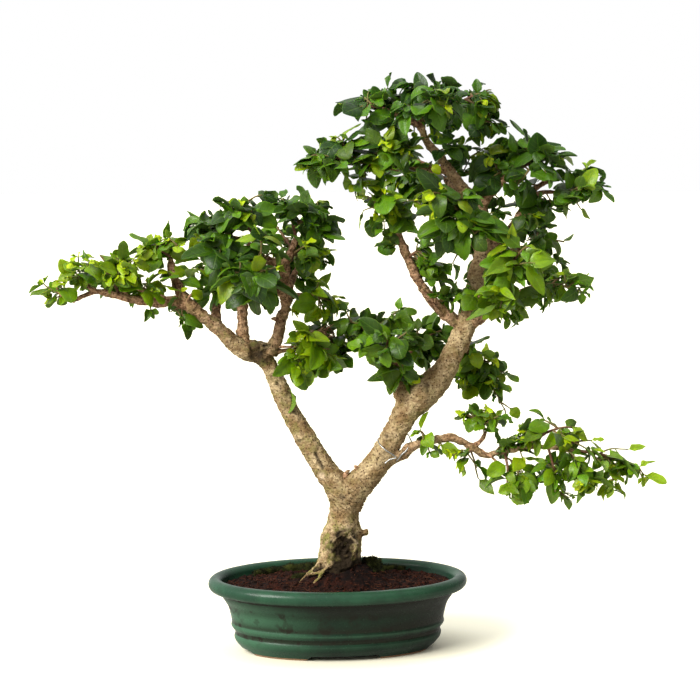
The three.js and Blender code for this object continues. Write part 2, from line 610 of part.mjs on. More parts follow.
// A shoot and the leaf at its end in one skin, bent clear of the wood and of the other sprays.
// Its leaf's tip comes down on the given tip; a side shoot also stays in one with what it grows on.
function clearShoot(start, tip, form, seed, fatWood, others, grownFrom) {
  const fullLength = THREE.MathUtils.lerp(...LEAF_LENGTH, chance(...seed));
  for (const size of END_LEAF_SIZES) {
    for (const bend of SHOOT_BENDS) {
      const shift = new THREE.Vector3(...bend);
      const reached = tip.clone().addScaledVector(shift, TIP_SHARE_OF_BEND);
      const curve = shootCurve(start, reached, shift, size * fullLength);
      const end = curve.getPoint(1);
      const length = end.distanceTo(reached);
      const direction = reached.clone().addScaledVector(UP, LEAF_CURL * length).sub(end).normalize();
      const normal = facing(direction, 0.8 * (chance(seed[0], seed[1], 21) - 0.5));
      const leaf = { start: end, direction, normal, length, seed };
      if (overlaps(leafProbe(leaf), fatWood)) continue;
      const probe = solidFrom(skin([...shootRings(curve, form, CLEARANCE), ...leafRings(leaf, CLEARANCE)]));
      if (others.some((solid) => overlaps(probe, solid))) continue;
      const whole = solidFrom(skin([...shootRings(curve, form), ...leafRings(leaf)]));
      const outside = whole.subtract(fatWood);
      const grown = grownFrom ? outside.add(grownFrom) : outside;
      if (grown.decompose().length === 1) return { curve, steps: form.steps, solid: outside };
    }
  }
  return null;
}

// One spray: a main shoot, side shoots for its other tips, and leaves in opposite pairs
function makeSpray(number, [branch, share, tips], fatWood, others) {
  const root = pointAlong(BRANCHES[branch], share);
  const [mainTip, ...sideTips] = tips.map((tip) => new THREE.Vector3(...tip));
  const main = clearShoot(root, mainTip, MAIN_SHOOT, [number + 1, 1, 7], fatWood, others, null);
  if (!main) throw new Error(`no clear way for the shoot on ${branch} at ${share}`);
  const shoots = [main];
  sideTips.forEach((tip, k) => {
    const { point } = spotOnShoot(main.curve, main.steps, SIDE_SHOOT_SHARES[k]);
    const shoot = clearShoot(point, tip, SIDE_SHOOT, [number + 1, k + 2, 7], fatWood, others, main.solid);
    if (shoot) shoots.push(shoot);
  });
  const grown = shoots.map(({ solid }) => solid);
  const pairs = tips.length < FULL_SPRAY ? 2 : 1;
  for (let pair = 0; pair < pairs; pair += 1) {
    for (const side of [-1, 1]) {
      const seed = [number + 1, 1, 2 * pair + (side + 1) / 2 + 1];
      const leaf = clearLeaf(main, pair, side, seed, [fatWood, ...others, ...grown]);
      if (leaf) grown.push(leaf);
    }
  }
  return largestBody(join(grown));
}

// A low dome of moss that sits on the soil and against the wood
function makeMossMound({ centre, half }, carpet) {
  const dome = new THREE.SphereGeometry(1, MOSS_SIDES, MOSS_SIDES / 2);
  dome.rotateX(Math.PI / 2);
  dome.scale(...half);
  dome.translate(...centre);
  return largestBody(solidFrom(dome).subtract(carpet));
}

// The strip of moss that follows the back of the rim
function makeMossStrip(carpet) {
  const { offset, from, to, steps, height, thick, thin } = MOSS_STRIP;
  const points = Array.from({ length: steps + 1 }, (_, k) => {
    const share = k / steps;
    const angle = THREE.MathUtils.degToRad(THREE.MathUtils.lerp(from, to, share));
    const radius = THREE.MathUtils.lerp(thin, thick, Math.sin(Math.PI * share));
    return [...ovalPoint(angle, offset, height), radius];
  });
  return largestBody(tube(points, BRANCH_SIDES).subtract(carpet));
}

function makeWire() {
  return tube(
    WIRE_ROUTE.map((point) => [...point, WIRE_RADIUS]),
    WIRE_SIDES,
  );
}

const bonsai = new THREE.Group();
const holder = new THREE.Group();
const tree = new THREE.Group();
tree.rotation.z = TREE_TURN;
bonsai.add(holder, tree);

const turnDegrees = THREE.MathUtils.radToDeg(TREE_TURN);
const wood = makeWood();
const fatWood = makeWood(CLEARANCE);
const fatWoodInPot = fatWood.rotate([0, 0, turnDegrees]);

const screens = [-1, 1].map((side) => makeScreen(side));
const screenRoom = [-1, 1].map((side) =>
  box(
    [SCREEN_SIDE + 2 * CLEARANCE, SCREEN_SIDE + 2 * CLEARANCE, SCREEN_THICKNESS + 2 * CLEARANCE],
    [side * DRAIN_REACH, 0, FLOOR_TOP + CLEARANCE + SCREEN_THICKNESS / 2],
  ),
);
const soilBody = makeSoilBody();
const carpet = soilBody.translate([0, 0, CLEARANCE]).add(fatWoodInPot);

addNode(holder, "pot", makePot(), "glaze");
screens.forEach((screen, k) => addNode(holder, `drain_screen_${k + 1}`, screen, "mesh"));
addNode(holder, "soil", largestBody(soilBody.subtract(fatWoodInPot).subtract(join(screenRoom))), "soil");
for (const [name, mound] of Object.entries(MOSS_MOUNDS)) {
  addNode(holder, name, makeMossMound(mound, carpet), "moss");
}
addNode(holder, "moss_back", makeMossStrip(carpet), "moss");

addNode(tree, "tree_wood", wood, "bark");
const wire = makeWire();
addNode(tree, "tie_wire", wire, "wire");

const others = [wire];
Object.entries(SPRAYS).forEach(([name, spray], number) => {
  const solid = makeSpray(number, spray, fatWood, others);
  others.push(solid);
  addNode(tree, `spray_${name}`, solid, "leaf");
});

export default bonsai;
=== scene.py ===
# %% [markdown]
# # A privet bonsai in its oval pot
#
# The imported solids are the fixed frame: every piece made here sits where they are, in metres, with
# the pot standing on z = 0. Most pieces are rebuilt finer than the solids, in the same form: the
# glazed pot, the peat, the moss, the bark and nearly four thousand leaves.

# %% Load the frame
import itertools
import math

import bpy
import numpy as np
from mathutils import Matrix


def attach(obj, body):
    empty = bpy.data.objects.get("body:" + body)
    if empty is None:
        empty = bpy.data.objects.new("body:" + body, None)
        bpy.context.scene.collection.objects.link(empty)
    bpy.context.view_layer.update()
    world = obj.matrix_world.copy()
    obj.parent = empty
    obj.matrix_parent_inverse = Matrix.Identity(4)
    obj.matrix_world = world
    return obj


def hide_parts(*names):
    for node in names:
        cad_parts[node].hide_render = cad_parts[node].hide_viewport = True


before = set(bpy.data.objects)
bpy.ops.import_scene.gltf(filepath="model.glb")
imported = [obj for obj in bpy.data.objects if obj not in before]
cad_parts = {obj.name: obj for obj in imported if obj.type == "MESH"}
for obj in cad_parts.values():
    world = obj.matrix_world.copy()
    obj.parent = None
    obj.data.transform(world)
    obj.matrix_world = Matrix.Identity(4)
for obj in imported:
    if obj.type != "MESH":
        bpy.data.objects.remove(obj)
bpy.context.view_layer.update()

# %% [markdown]
# Lengths are written in millimetres and turned to metres when a mesh is made. The tree has its own
# frame: x runs right as the camera sees it, y away from it. That frame is turned a little against
# the pot's, so every tree piece passes through one rotation.

# %% Units and the tree's turn
MM = 0.001
TREE_TURN = math.radians(-7)
TURN = np.array([
    [math.cos(TREE_TURN), math.sin(TREE_TURN), 0],
    [-math.sin(TREE_TURN), math.cos(TREE_TURN), 0],
    [0, 0, 1],
])


def turned(points):
    """The points of the tree's frame in the pot's frame: each row times the rotation about z."""
    return points @ TURN


print("the tree is turned by", round(math.degrees(TREE_TURN)), "degrees")

# %% [markdown]
# The camera stands two metres away and a little above the leaves' middle, as the photograph was
# taken: it looks down by six degrees, which shows the far rim of the pot and a thin slice of peat.

# %% Camera
CAMERA_DISTANCE = 2000
CAMERA_HEIGHT = 518
CAMERA_SIDESTEP = 11.8
CAMERA_PITCH = math.radians(6.22)
FOCAL_PIXELS = 2040.5
PICTURE_PIXELS = 700
SENSOR_WIDTH = 36

camera_data = bpy.data.cameras.new("camera")
camera_data.sensor_width = SENSOR_WIDTH
camera_data.lens = FOCAL_PIXELS * SENSOR_WIDTH / PICTURE_PIXELS
camera_data.clip_end = 50
camera = bpy.data.objects.new("camera", camera_data)
bpy.context.scene.collection.objects.link(camera)
camera_place = turned(np.array([[CAMERA_SIDESTEP, -CAMERA_DISTANCE, CAMERA_HEIGHT]]))[0] * MM
camera.location = camera_place.tolist()
camera.rotation_euler = (math.pi / 2 - CAMERA_PITCH, 0, TREE_TURN)
bpy.context.scene.camera = camera
print("camera at", [round(value, 3) for value in camera_place], "lens", round(camera_data.lens, 1), "mm")

# %% [markdown]
# Everything irregular comes from two rules that give the same result on each run: a hash that turns
# whole numbers into a number from 0 to 1, and smooth noise that blends such numbers on a lattice.

# %% Chance and noise
def chance(*counters):
    """Repeatable numbers from 0 to 1: the fraction of a long sine of the counters' weighted sum."""
    weights = (12.9898, 78.233, 37.719, 53.117)
    total = sum(np.asarray(counter, float) * weight for counter, weight in zip(counters, weights))
    wave = np.sin(total) * 43758.5453
    return wave - np.floor(wave)


def noise(points, size, seed=0):
    """Smooth noise from -1 to 1: random values on a lattice of cubes, blended by 3t^2 - 2t^3."""
    scaled = points / size
    base = np.floor(scaled)
    blend = scaled - base
    blend = blend * blend * (3 - 2 * blend)
    total = np.zeros(points.shape[:-1])
    for corner in itertools.product((0, 1), repeat=3):
        weight = np.prod(np.where(corner, blend, 1 - blend), axis=-1)
        cell = base + corner
        total += weight * chance(cell[..., 0], cell[..., 1], cell[..., 2], seed)
    return 2 * total - 1


def rough(points, size, octaves, seed=0):
    """Layers of noise, each half as large and half as strong as the one before."""
    layers = [noise(points, size / 2**k, seed + 7 * k) / 2**k for k in range(octaves)]
    return sum(layers)


def smoothstep(low, high, value):
    """0 below low, 1 above high, and 3t^2 - 2t^3 between them."""
    share = np.clip((value - low) / (high - low), 0, 1)
    return share * share * (3 - 2 * share)


def shake(counter, series, first=0):
    """Repeatable vectors: x, y and z are chance from -0.5 to 0.5, for each counter."""
    return np.stack([chance(counter, first + axis, series) - 0.5 for axis in range(3)], axis=-1)


def faded(distance, reach, power=2):
    """1 at no distance, then falling: e to the minus (distance / reach)^power."""
    return np.exp(-((distance / reach) ** power))


def unit(vectors):
    """Each vector divided by its length."""
    return vectors / np.maximum(np.linalg.norm(vectors, axis=-1, keepdims=True), 1e-9)


print("three draws:", [round(float(chance(k, 2, 3)), 4) for k in range(3)])

# %% [markdown]
# A surface is a grid of points: rings round a path or round the pot. A helper turns such a grid
# into the faces of closed tubes.

# %% Rings and grids
def ring_angles(sides):
    """The angles of a ring's points, evenly spaced over a full turn."""
    return np.arange(sides) * 2 * np.pi / sides


def globe_rings(latitude, sides):
    """Rings of a unit sphere: (cos u cos v, cos u sin v, sin u) for each latitude u and turn v."""
    turn = ring_angles(sides)
    out, up = np.cos(latitude)[:, None], np.sin(latitude)[:, None]
    return np.stack([out * np.cos(turn), out * np.sin(turn), up + 0 * turn], axis=-1)


def tube_part(grid, material=0, **values):
    """Closed tubes as one part: a grid of (copies,) rings, sides and xyz gives faces and end caps."""
    grid = grid.reshape(-1, *grid.shape[-3:])
    copies, rings, sides = grid.shape[:3]
    ring, side = np.meshgrid(np.arange(rings - 1), np.arange(sides), indexing="ij")
    here, beside = ring * sides + side, ring * sides + (side + 1) % sides
    quads = np.stack([here, beside, beside + sides, here + sides], axis=-1).reshape(-1, 4)
    caps = np.stack([np.arange(sides)[::-1], (rings - 1) * sides + np.arange(sides)])
    starts = (np.arange(copies) * rings * sides)[:, None, None]
    return {
        "points": grid.reshape(-1, 3),
        "quads": (starts + quads).reshape(-1, 4),
        "caps": (starts + caps).reshape(-1, sides),
        "material": material,
        "values": {
            name: np.broadcast_to(value, grid.shape[:3]).ravel() for name, value in values.items()
        },
    }


print("a globe of", globe_rings(np.radians([-60, 0, 60]), 8).shape[:2], "rings and sides can be made")

# %% [markdown]
# One mesh gathers several grids, with their attributes and materials. All points and faces are set
# as whole arrays, because adding them one by one would take minutes.

# %% From grids to meshes
def build_mesh(name, parts):
    """One mesh from parts: all points, faces and values are laid end to end and set as arrays."""
    starts = np.cumsum([0] + [len(part["points"]) for part in parts])
    points = np.concatenate([part["points"] for part in parts]) * MM
    face_sets = []
    for start, part in zip(starts, parts):
        face_sets += [part["quads"] + start, part["caps"] + start]
    corners = np.concatenate([faces.ravel() for faces in face_sets])
    totals = np.concatenate([np.full(len(faces), faces.shape[1]) for faces in face_sets])
    slots = np.concatenate([
        np.broadcast_to(part["material"], len(part["quads"]) + len(part["caps"])) for part in parts
    ])
    mesh = bpy.data.meshes.new(name)
    mesh.vertices.add(len(points))
    mesh.vertices.foreach_set("co", points.ravel())
    mesh.loops.add(len(corners))
    mesh.loops.foreach_set("vertex_index", corners)
    mesh.polygons.add(len(totals))
    mesh.polygons.foreach_set("loop_start", np.cumsum(totals) - totals)
    mesh.polygons.foreach_set("material_index", slots)
    mesh.polygons.foreach_set("use_smooth", np.full(len(totals), True))
    for key in parts[0]["values"]:
        values = np.concatenate([part["values"][key] for part in parts])
        attribute = mesh.attributes.new(key, "FLOAT", "POINT")
        attribute.data.foreach_set("value", values.astype(np.float32))
    mesh.update(calc_edges=True)
    mesh.validate()
    return mesh


trial = build_mesh("trial", [tube_part(globe_rings(np.radians([-60, 0, 60]), 8))])
print("a small globe has", len(trial.polygons), "faces")
bpy.data.meshes.remove(trial)

# %% [markdown]
# A mesh becomes a piece of the dressed object: it rides on the one body, fills a slot for its
# material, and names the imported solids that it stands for.

# %% From meshes to pieces
def evaluated_mesh(piece, name):
    """The mesh that a piece's modifiers make, as a mesh of its own."""
    graph = bpy.context.evaluated_depsgraph_get()
    mesh = bpy.data.meshes.new_from_object(piece.evaluated_get(graph))
    mesh.name = name
    return mesh


def read_vectors(collection, key):
    """The x, y and z of all points or faces, as an array with a row for each."""
    values = np.empty(len(collection) * 3)
    collection.foreach_get(key, values)
    return values.reshape(-1, 3)


def put_in_scene(name, data):
    """A new object of a mesh, a lamp or a camera, linked to the scene."""
    made = bpy.data.objects.new(name, data)
    bpy.context.scene.collection.objects.link(made)
    return made


def add_piece(name, mesh, materials, nodes=()):
    """Puts a mesh in the scene as a piece that rides on the object and stands for CAD nodes."""
    piece = put_in_scene(name, mesh)
    for material in materials:
        mesh.materials.append(material)
    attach(piece, "root")
    if nodes:
        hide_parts(*nodes)
    return piece


# %% [markdown]
# Branches are lists of points with a radius. A Catmull-Rom curve runs smoothly through them, and a
# frame that turns as little as it can carries a ring along the curve, so that a tube never twists.

# %% Paths and tubes
LEAST_STATIONS = 4


def smooth_path(points, spacing):
    """Catmull-Rom through [x, y, z, radius] points, sampled at about the given spacing."""
    knots = np.asarray(points, float)
    length = np.linalg.norm(np.diff(knots[:, :3], axis=0), axis=1).sum()
    place = np.linspace(0, len(knots) - 1, max(int(length / spacing) + 1, LEAST_STATIONS))
    span = np.minimum(place.astype(int), len(knots) - 2)
    t = (place - span)[:, None]
    before, here, there, after = (
        knots[np.clip(span + shift, 0, len(knots) - 1)] for shift in (-1, 0, 1, 2)
    )
    return 0.5 * (
        2 * here
        + (there - before) * t
        + (2 * before - 5 * here + 4 * there - after) * t**2
        + (3 * here - before - 3 * there + after) * t**3
    )


def lengths_along(path):
    """The distance from a path's start to each of its points, along it."""
    return np.concatenate([[0], np.cumsum(np.linalg.norm(np.diff(path[:, :3], axis=0), axis=1))])


def read_along(along, vectors, places):
    """Vectors given along a path, read at other places by straight lines between them."""
    return np.stack([np.interp(places, along, vectors[:, axis]) for axis in range(3)], axis=-1)


def path_frames(centres):
    """Tangents, and two directions across them that follow the path with the least turning."""
    tangents = unit(np.gradient(centres, axis=0))
    start = np.array([1.0, 0, 0]) if abs(tangents[0, 2]) > 0.9 else np.array([0, 0, 1.0])
    across = np.empty_like(tangents)
    current = np.cross(tangents[0], start)
    for station, tangent in enumerate(tangents):
        current = current - tangent * (current @ tangent)
        current = current / np.linalg.norm(current)
        across[station] = current
    return tangents, across, np.cross(tangents, across)


def tube_grid(path, sides, lumps=0.0, seed=0):
    """Rings round a path: centre + radius (cos a across + sin a over), the radius swollen by noise."""
    centres, radii = path[:, :3], path[:, 3]
    _, across, over = path_frames(centres)
    angle = ring_angles(sides)[None, :, None]
    ring = np.cos(angle) * across[:, None] + np.sin(angle) * over[:, None]
    rim = centres[:, None] + ring * radii[:, None, None]
    swell = 1 + lumps * noise(rim, 6, seed) if lumps else np.ones(rim.shape[:2])
    return centres[:, None] + ring * (radii[:, None] * swell)[..., None]


print("a straight path of 10 mm has", len(smooth_path([(0, 0, 0, 1), (0, 0, 10, 1)], 1)), "stations")

# %% [markdown]
# Every finish is a Principled shader fed by small node networks. Colours are given as they are seen
# on a screen, from 0 to 255, and are turned to the linear values that a shader works with.

# %% Shader helpers
def colour(red, green, blue):
    """A screen colour as linear RGBA: the sRGB curve's power part, ((c + 0.055) / 1.055)^2.4."""
    channels = [((value / 255 + 0.055) / 1.055) ** 2.4 for value in (red, green, blue)]
    return (*channels, 1)


def add_node(tree, kind, inputs=None, **settings):
    """A shader node with its settings. An input that is a socket is linked, else it is a value."""
    made = tree.nodes.new(kind)
    for key, value in settings.items():
        setattr(made, key, value)
    for key, value in (inputs or {}).items():
        if isinstance(value, bpy.types.NodeSocket):
            tree.links.new(value, made.inputs[key])
        else:
            made.inputs[key].default_value = value
    return made


def mixed(tree, share, first, second):
    """The output of a colour mix of two colours or sockets."""
    made = add_node(tree, "ShaderNodeMix", {0: share, 6: first, 7: second}, data_type="RGBA")
    return made.outputs[2]


def maths(tree, operation, first, second=0.0):
    """The output of one sum with two values or sockets."""
    return add_node(tree, "ShaderNodeMath", {0: first, 1: second}, operation=operation).outputs[0]


def washed(tree, base, mask, strength, tint):
    """A base colour with a tint laid over it where the mask is, at a share of its strength."""
    return mixed(tree, maths(tree, "MULTIPLY", mask, strength), base, tint)


def bumped(tree, shader, strength, distance, height):
    """Leads a height through a Bump node to the shader's normal."""
    bump = add_node(tree, "ShaderNodeBump", {"Strength": strength, "Distance": distance, "Height": height})
    tree.links.new(bump.outputs["Normal"], shader.inputs["Normal"])


def banded(tree, value, low, high, to_low=0.0, to_high=1.0):
    """The output of a smooth step of a value from low to high."""
    ends = {"Value": value, "From Min": low, "From Max": high, "To Min": to_low, "To Max": to_high}
    made = add_node(tree, "ShaderNodeMapRange", ends, interpolation_type="SMOOTHSTEP")
    return made.outputs["Result"]


def attribute(tree, name):
    """The output of a value kept on the mesh."""
    return add_node(tree, "ShaderNodeAttribute", attribute_name=name).outputs["Fac"]


print("mid grey of a screen is", round(colour(128, 128, 128)[0], 3), "in a shader")

# %% [markdown]
# A shared effect is a node group, built once and placed in every material that needs it. All
# materials start alike, from their Principled shader and the object's own coordinates.

# %% Groups and materials
def new_group(name, inputs, outputs):
    """An empty node group: inputs by name, with a number or None for a vector, and named outputs."""
    group = bpy.data.node_groups.new(name, "ShaderNodeTree")
    for label, default in inputs.items():
        kind = "NodeSocketVector" if default is None else "NodeSocketFloat"
        socket = group.interface.new_socket(label, in_out="INPUT", socket_type=kind)
        if default is not None:
            socket.default_value = default
    for label in outputs:
        group.interface.new_socket(label, in_out="OUTPUT", socket_type="NodeSocketFloat")
    return group, group.nodes.new("NodeGroupInput").outputs, group.nodes.new("NodeGroupOutput").inputs


def use_group(tree, group, inputs):
    """A group placed in a material, with its own values."""
    return add_node(tree, "ShaderNodeGroup", inputs, node_tree=group).outputs


def new_material(name):
    """A material with its node tree, its Principled shader and the Object coordinates."""
    material = bpy.data.materials.new(name)
    material.use_nodes = True
    tree = material.node_tree
    place = add_node(tree, "ShaderNodeTexCoord").outputs["Object"]
    return material, tree, tree.nodes["Principled BSDF"], place


def show_finish(material):
    """Prints how many nodes make a finish, with the part of its name before a dot."""
    print("finish", material.name.partition(".")[0], "has", len(material.node_tree.nodes), "nodes")


print("materials of the packed solids:", len(bpy.data.materials))

# %% [markdown]
# Two effects turn up on every surface here. Mottling is soft noise cut into a mask: algae on bark,
# thick and thin glaze, uneven green in a leaf. Specks are small rounded spots: the breathing pores
# of the bark, pinholes in the glaze, pale fibres in the peat. Each is a node group, built once.

# %% Shared effects: mottling and specks
mottling, given, made = new_group(
    "mottling",
    {"Place": None, "Scale": 100.0, "Detail": 4.0, "Low": 0.4, "High": 0.6},
    ["Mask", "Height"],
)
cloud = add_node(
    mottling,
    "ShaderNodeTexNoise",
    {"Vector": given["Place"], "Scale": given["Scale"], "Detail": given["Detail"], "Roughness": 0.6},
)
mottling.links.new(banded(mottling, cloud.outputs["Fac"], given["Low"], given["High"]), made["Mask"])
mottling.links.new(cloud.outputs["Fac"], made["Height"])

specks, given, made = new_group(
    "specks", {"Place": None, "Scale": 300.0, "Size": 0.25, "Share": 0.5}, ["Mask"],
)
cells = add_node(specks, "ShaderNodeTexVoronoi", {"Vector": given["Place"], "Scale": given["Scale"]})
inner = maths(specks, "MULTIPLY", given["Size"], 0.5)
spot = banded(specks, cells.outputs["Distance"], given["Size"], inner)
chosen = add_node(specks, "ShaderNodeSeparateColor", {"Color": cells.outputs["Color"]}).outputs[0]
kept = maths(specks, "LESS_THAN", chosen, given["Share"])
specks.links.new(maths(specks, "MULTIPLY", spot, kept), made["Mask"])


def mottled(tree, place, scale, low, high, detail=4.0):
    """Mottling placed in a material: its mask, cut between low and high, and its height."""
    values = {"Place": place, "Scale": scale, "Detail": detail, "Low": low, "High": high}
    return use_group(tree, mottling, values)


def speckled(tree, place, scale, size, share):
    """The mask of the specks, placed in a material."""
    return use_group(tree, specks, {"Place": place, "Scale": scale, "Size": size, "Share": share})["Mask"]


print("groups:", [group.name for group in bpy.data.node_groups])

# %% [markdown]
# The glaze is a satin teal green. It is thick and deep where it pooled in the grooves, thin and
# blue-green on the rim's edges, and broken by brown-black patches and tiny pinholes, as a fired
# glaze is. Each point of the pot knows how far its wall bulges, and the glaze reads that.

# %% Finish: glaze
GLAZE = colour(34, 72, 50)
GLAZE_DEEP = colour(20, 50, 36)
# Thin glaze on edges and ridges; also the painted light on the wall's left end
GLAZE_THIN_AND_LIT = colour(72, 112, 84)
GLAZE_BROKEN = colour(28, 26, 16)
GLAZE_BURNT = colour(26, 32, 22)

glaze, tree, shader, place = new_material("glaze")
pooled = mottled(tree, place, 26.0, 0.38, 0.66, detail=5.0)
fine = mottled(tree, place, 210.0, 0.46, 0.62, detail=6.0)
broken = mottled(tree, place, 75.0, 0.53, 0.6, detail=9.0)
pinholes = speckled(tree, place, 420.0, 0.22, 0.3)
base = mixed(tree, pooled["Mask"], GLAZE_DEEP, GLAZE)
base = washed(tree, base, fine["Mask"], 0.35, GLAZE_DEEP)
# Painted light: the wall's left end is lightened, as if lit from the left
base = mixed(tree, attribute(tree, "thin"), base, GLAZE_THIN_AND_LIT)
base = mixed(tree, attribute(tree, "burnt"), base, GLAZE_BURNT)
base = mixed(tree, banded(tree, attribute(tree, "bulge"), 0.2, 1.3, 0.0, 0.65), base, GLAZE_THIN_AND_LIT)
in_grooves = banded(tree, attribute(tree, "bulge"), -0.02, -0.4, 0.14, 1.0)
base = washed(tree, base, broken["Mask"], in_grooves, GLAZE_BROKEN)
base = mixed(tree, banded(tree, attribute(tree, "bulge"), -0.08, -0.45, 0.0, 0.8), base, GLAZE_BROKEN)
base = washed(tree, base, pinholes, 0.35, GLAZE_THIN_AND_LIT)
tree.links.new(base, shader.inputs["Base Color"])
tree.links.new(banded(tree, broken["Height"], 0.3, 0.7, 0.22, 0.42), shader.inputs["Roughness"])
dents = maths(tree, "SUBTRACT", maths(tree, "MULTIPLY", pooled["Height"], 3.0), pinholes)
bumped(tree, shader, 0.25, 0.0006, dents)
shader.inputs["Specular IOR Level"].default_value = 0.16
shader.inputs["Coat Weight"].default_value = 0.12
shader.inputs["Coat Roughness"].default_value = 0.18
show_finish(glaze)

# %% [markdown]
# The soles of the feet and their lower edges are wiped clean before firing, so they show the clay.

# %% Finish: bare clay
clay, tree, shader, place = new_material("clay")
grit = speckled(tree, place, 700.0, 0.3, 0.4)
cloudy = mottled(tree, place, 60.0, 0.35, 0.65)
body = mixed(tree, cloudy["Mask"], colour(150, 112, 82), colour(172, 134, 100))
tree.links.new(mixed(tree, grit, body, colour(110, 80, 60)), shader.inputs["Base Color"])
bumped(tree, shader, 0.3, 0.0003, grit)
shader.inputs["Roughness"].default_value = 0.85
show_finish(clay)

# %% [markdown]
# The pot is an oval with a rolled rim, a grooved foot and four low feet. A potter would throw and
# press it, so one profile is carried round the oval: each point of the wall stands at its own
# offset from a ring line, along the oval's outward normal. The feet come from lifting the sole
# between them, and a Boolean cuts the two drain holes.

# %% The pot's wall
OVAL_HALF_LENGTH = 122.5
OVAL_HALF_WIDTH = 80
RIM_HEIGHT = 68
RIM_RADIUS = 7
FOOT_HEIGHT = 5
FLOOR_TOP = 11
FOOT_GAP_FRONT = 74
FOOT_GAP_END = 44
FOOT_GAP_ROUNDING = 5
POT_SIDES = 240
# How far a hand-made wall strays from its true form
HAND = 0.35

# Wall points as [offset from the oval line, height]
OUTER_WALL = [
    (-29, 0), (-24.5, 5.5), (-20, 11), (-18.5, 15.5), (-19.4, 20.5), (-15.6, 26.5), (-16, 32),
    (-12.5, 46), (-7, 55), (-5, 59.5),
]
INNER_WALL = [(-8.5, 63), (-13.5, 53), (-22, 33), (-28, 13), (-34, FLOOR_TOP)]
FOOT_INSIDE = [(-44, FOOT_HEIGHT), (-40, FOOT_HEIGHT), (-39, 0.8), (-38, 0), (-31, 0)]


def oval_ring(turn):
    """Points (a cos t, b sin t) of the oval, and its outward normals (b cos t, a sin t), made unit."""
    ring = np.stack([OVAL_HALF_LENGTH * np.cos(turn), OVAL_HALF_WIDTH * np.sin(turn)], axis=-1)
    normal = np.stack([OVAL_HALF_WIDTH * np.cos(turn), OVAL_HALF_LENGTH * np.sin(turn)], axis=-1)
    return ring, unit(normal)


def oval_grid(offsets, heights, sides=POT_SIDES):
    """Rings round the oval: (a cos t, b sin t) plus the offset along the oval's unit normal."""
    ring, normal = oval_ring(ring_angles(sides))
    flat = ring + normal * np.asarray(offsets)[:, None, None]
    rise = np.broadcast_to(np.asarray(heights)[:, None], flat.shape[:2])
    return np.concatenate([flat, rise[..., None]], axis=-1)


def fine_profile(points, spacing):
    """A smooth curve through profile points: Catmull-Rom in the plane of offset and height."""
    knots = [(offset, height, 0, 1) for offset, height in points]
    return smooth_path(knots, spacing)[:, :2]


rim_turn = np.radians(np.linspace(-60, 175, 30))
rim = np.stack([RIM_RADIUS * np.cos(rim_turn), RIM_HEIGHT + RIM_RADIUS * np.sin(rim_turn)], axis=-1)
profile = np.concatenate([fine_profile(FOOT_INSIDE + OUTER_WALL, 1.0), rim, fine_profile(INNER_WALL, 2.0)])
slope = np.unwrap(np.arctan2(*np.gradient(profile, axis=0).T[::-1]))
bulge = np.convolve(np.gradient(slope), np.hanning(9), "same")
pot_grid = oval_grid(profile[:, 0], profile[:, 1])
across_gap = np.minimum(
    np.abs(pot_grid[..., 0]) - FOOT_GAP_FRONT / 2,
    np.abs(pot_grid[..., 1]) - FOOT_GAP_END / 2,
)
lift = FOOT_HEIGHT * (1 - smoothstep(-FOOT_GAP_ROUNDING, 0, across_gap))
pot_grid[..., 2] = np.maximum(pot_grid[..., 2], lift)
pot_grid += HAND * rough(pot_grid, 60, 2, seed=3)[..., None] * unit(pot_grid * [1, 1, 0])
print("pot wall:", pot_grid.shape[0], "rings of", pot_grid.shape[1], "points")

# %% [markdown]
# The kiln left the wall unevenly coloured: scorched dark in a band under the rim and towards the
# right, with streaks that run down, and the left end is painted lighter and greener as painted light
# from the left. These shares are kept on the mesh.

# %% Where the glaze is burnt, and painted light on the left end
# Scorched bands as height, half width and strength, where a strength below 0 is greener
SCORCHED_BANDS = ((57, 6, 0.35), (43, 5, -0.2))

sideways, height = pot_grid[..., 0], pot_grid[..., 2]
on_wall = smoothstep(66, 58, height)
streaks = 0.5 + 0.5 * noise(pot_grid * [0.35, 0.35, 2.2], 22, 4)
to_the_right = smoothstep(-105, 5, sideways)
burnt = on_wall * (0.55 * to_the_right + (0.1 + 0.35 * to_the_right) * streaks)
burnt = (burnt + 0.25 * smoothstep(0, 70, sideways)) * (0.55 + 0.45 * smoothstep(26, 36, height))
for level, half_width, strength in SCORCHED_BANDS:
    burnt = burnt + strength * faded(height - level, half_width)
# Painted light: lighter and greener towards the left end, with streaks, as if lit from the left
thin = on_wall * (1 - to_the_right) * (0.5 + 0.3 * streaks)
pot_part = tube_part(pot_grid, bulge=bulge[:, None], burnt=np.clip(burnt, 0, 1), thin=thin)
pot = add_piece("glazed_pot", build_mesh("glazed_pot", [pot_part]), [glaze, clay], ["pot"])
print("burnt share of the pot:", round(float(np.clip(burnt, 0, 1).mean()), 2))

# %% [markdown]
# A potter cuts the drain holes through the floor with a round tool, and two cylinders do the same
# here. Faces that stand on the table show bare clay, so they are found by their height.

# %% Drain holes and bare soles
DRAIN_RADIUS = 8
DRAIN_REACH = 48
DRAIN_SIDES = 40
# The cutter runs past both faces of the pot's floor
DRAIN_FROM_TO = (-5.0, 20.0)
BARE_UP_TO = 2.1

turn = ring_angles(DRAIN_SIDES)
disc = DRAIN_RADIUS * np.stack([np.cos(turn), np.sin(turn), 0 * turn], axis=-1)
for side in (-1, 1):
    rims = np.stack([disc + (side * DRAIN_REACH, 0, level) for level in DRAIN_FROM_TO])
    cutter = put_in_scene("drain", build_mesh("drain", [tube_part(rims, bulge=0.0, burnt=0.0, thin=0.0)]))
    cut = pot.modifiers.new("drain", "BOOLEAN")
    cut.operation = "DIFFERENCE"
    cut.object = cutter
    cut.solver = "EXACT"
    finished = evaluated_mesh(pot, "glazed_pot")
    pot.modifiers.clear()
    pot.data = finished
    bpy.data.objects.remove(cutter)
faces = pot.data.polygons
is_sole = read_vectors(faces, "center")[:, 2] < BARE_UP_TO * MM
faces.foreach_set("material_index", is_sole.astype(np.int32))
print("pot:", len(faces), "faces,", int(is_sole.sum()), "on the soles")
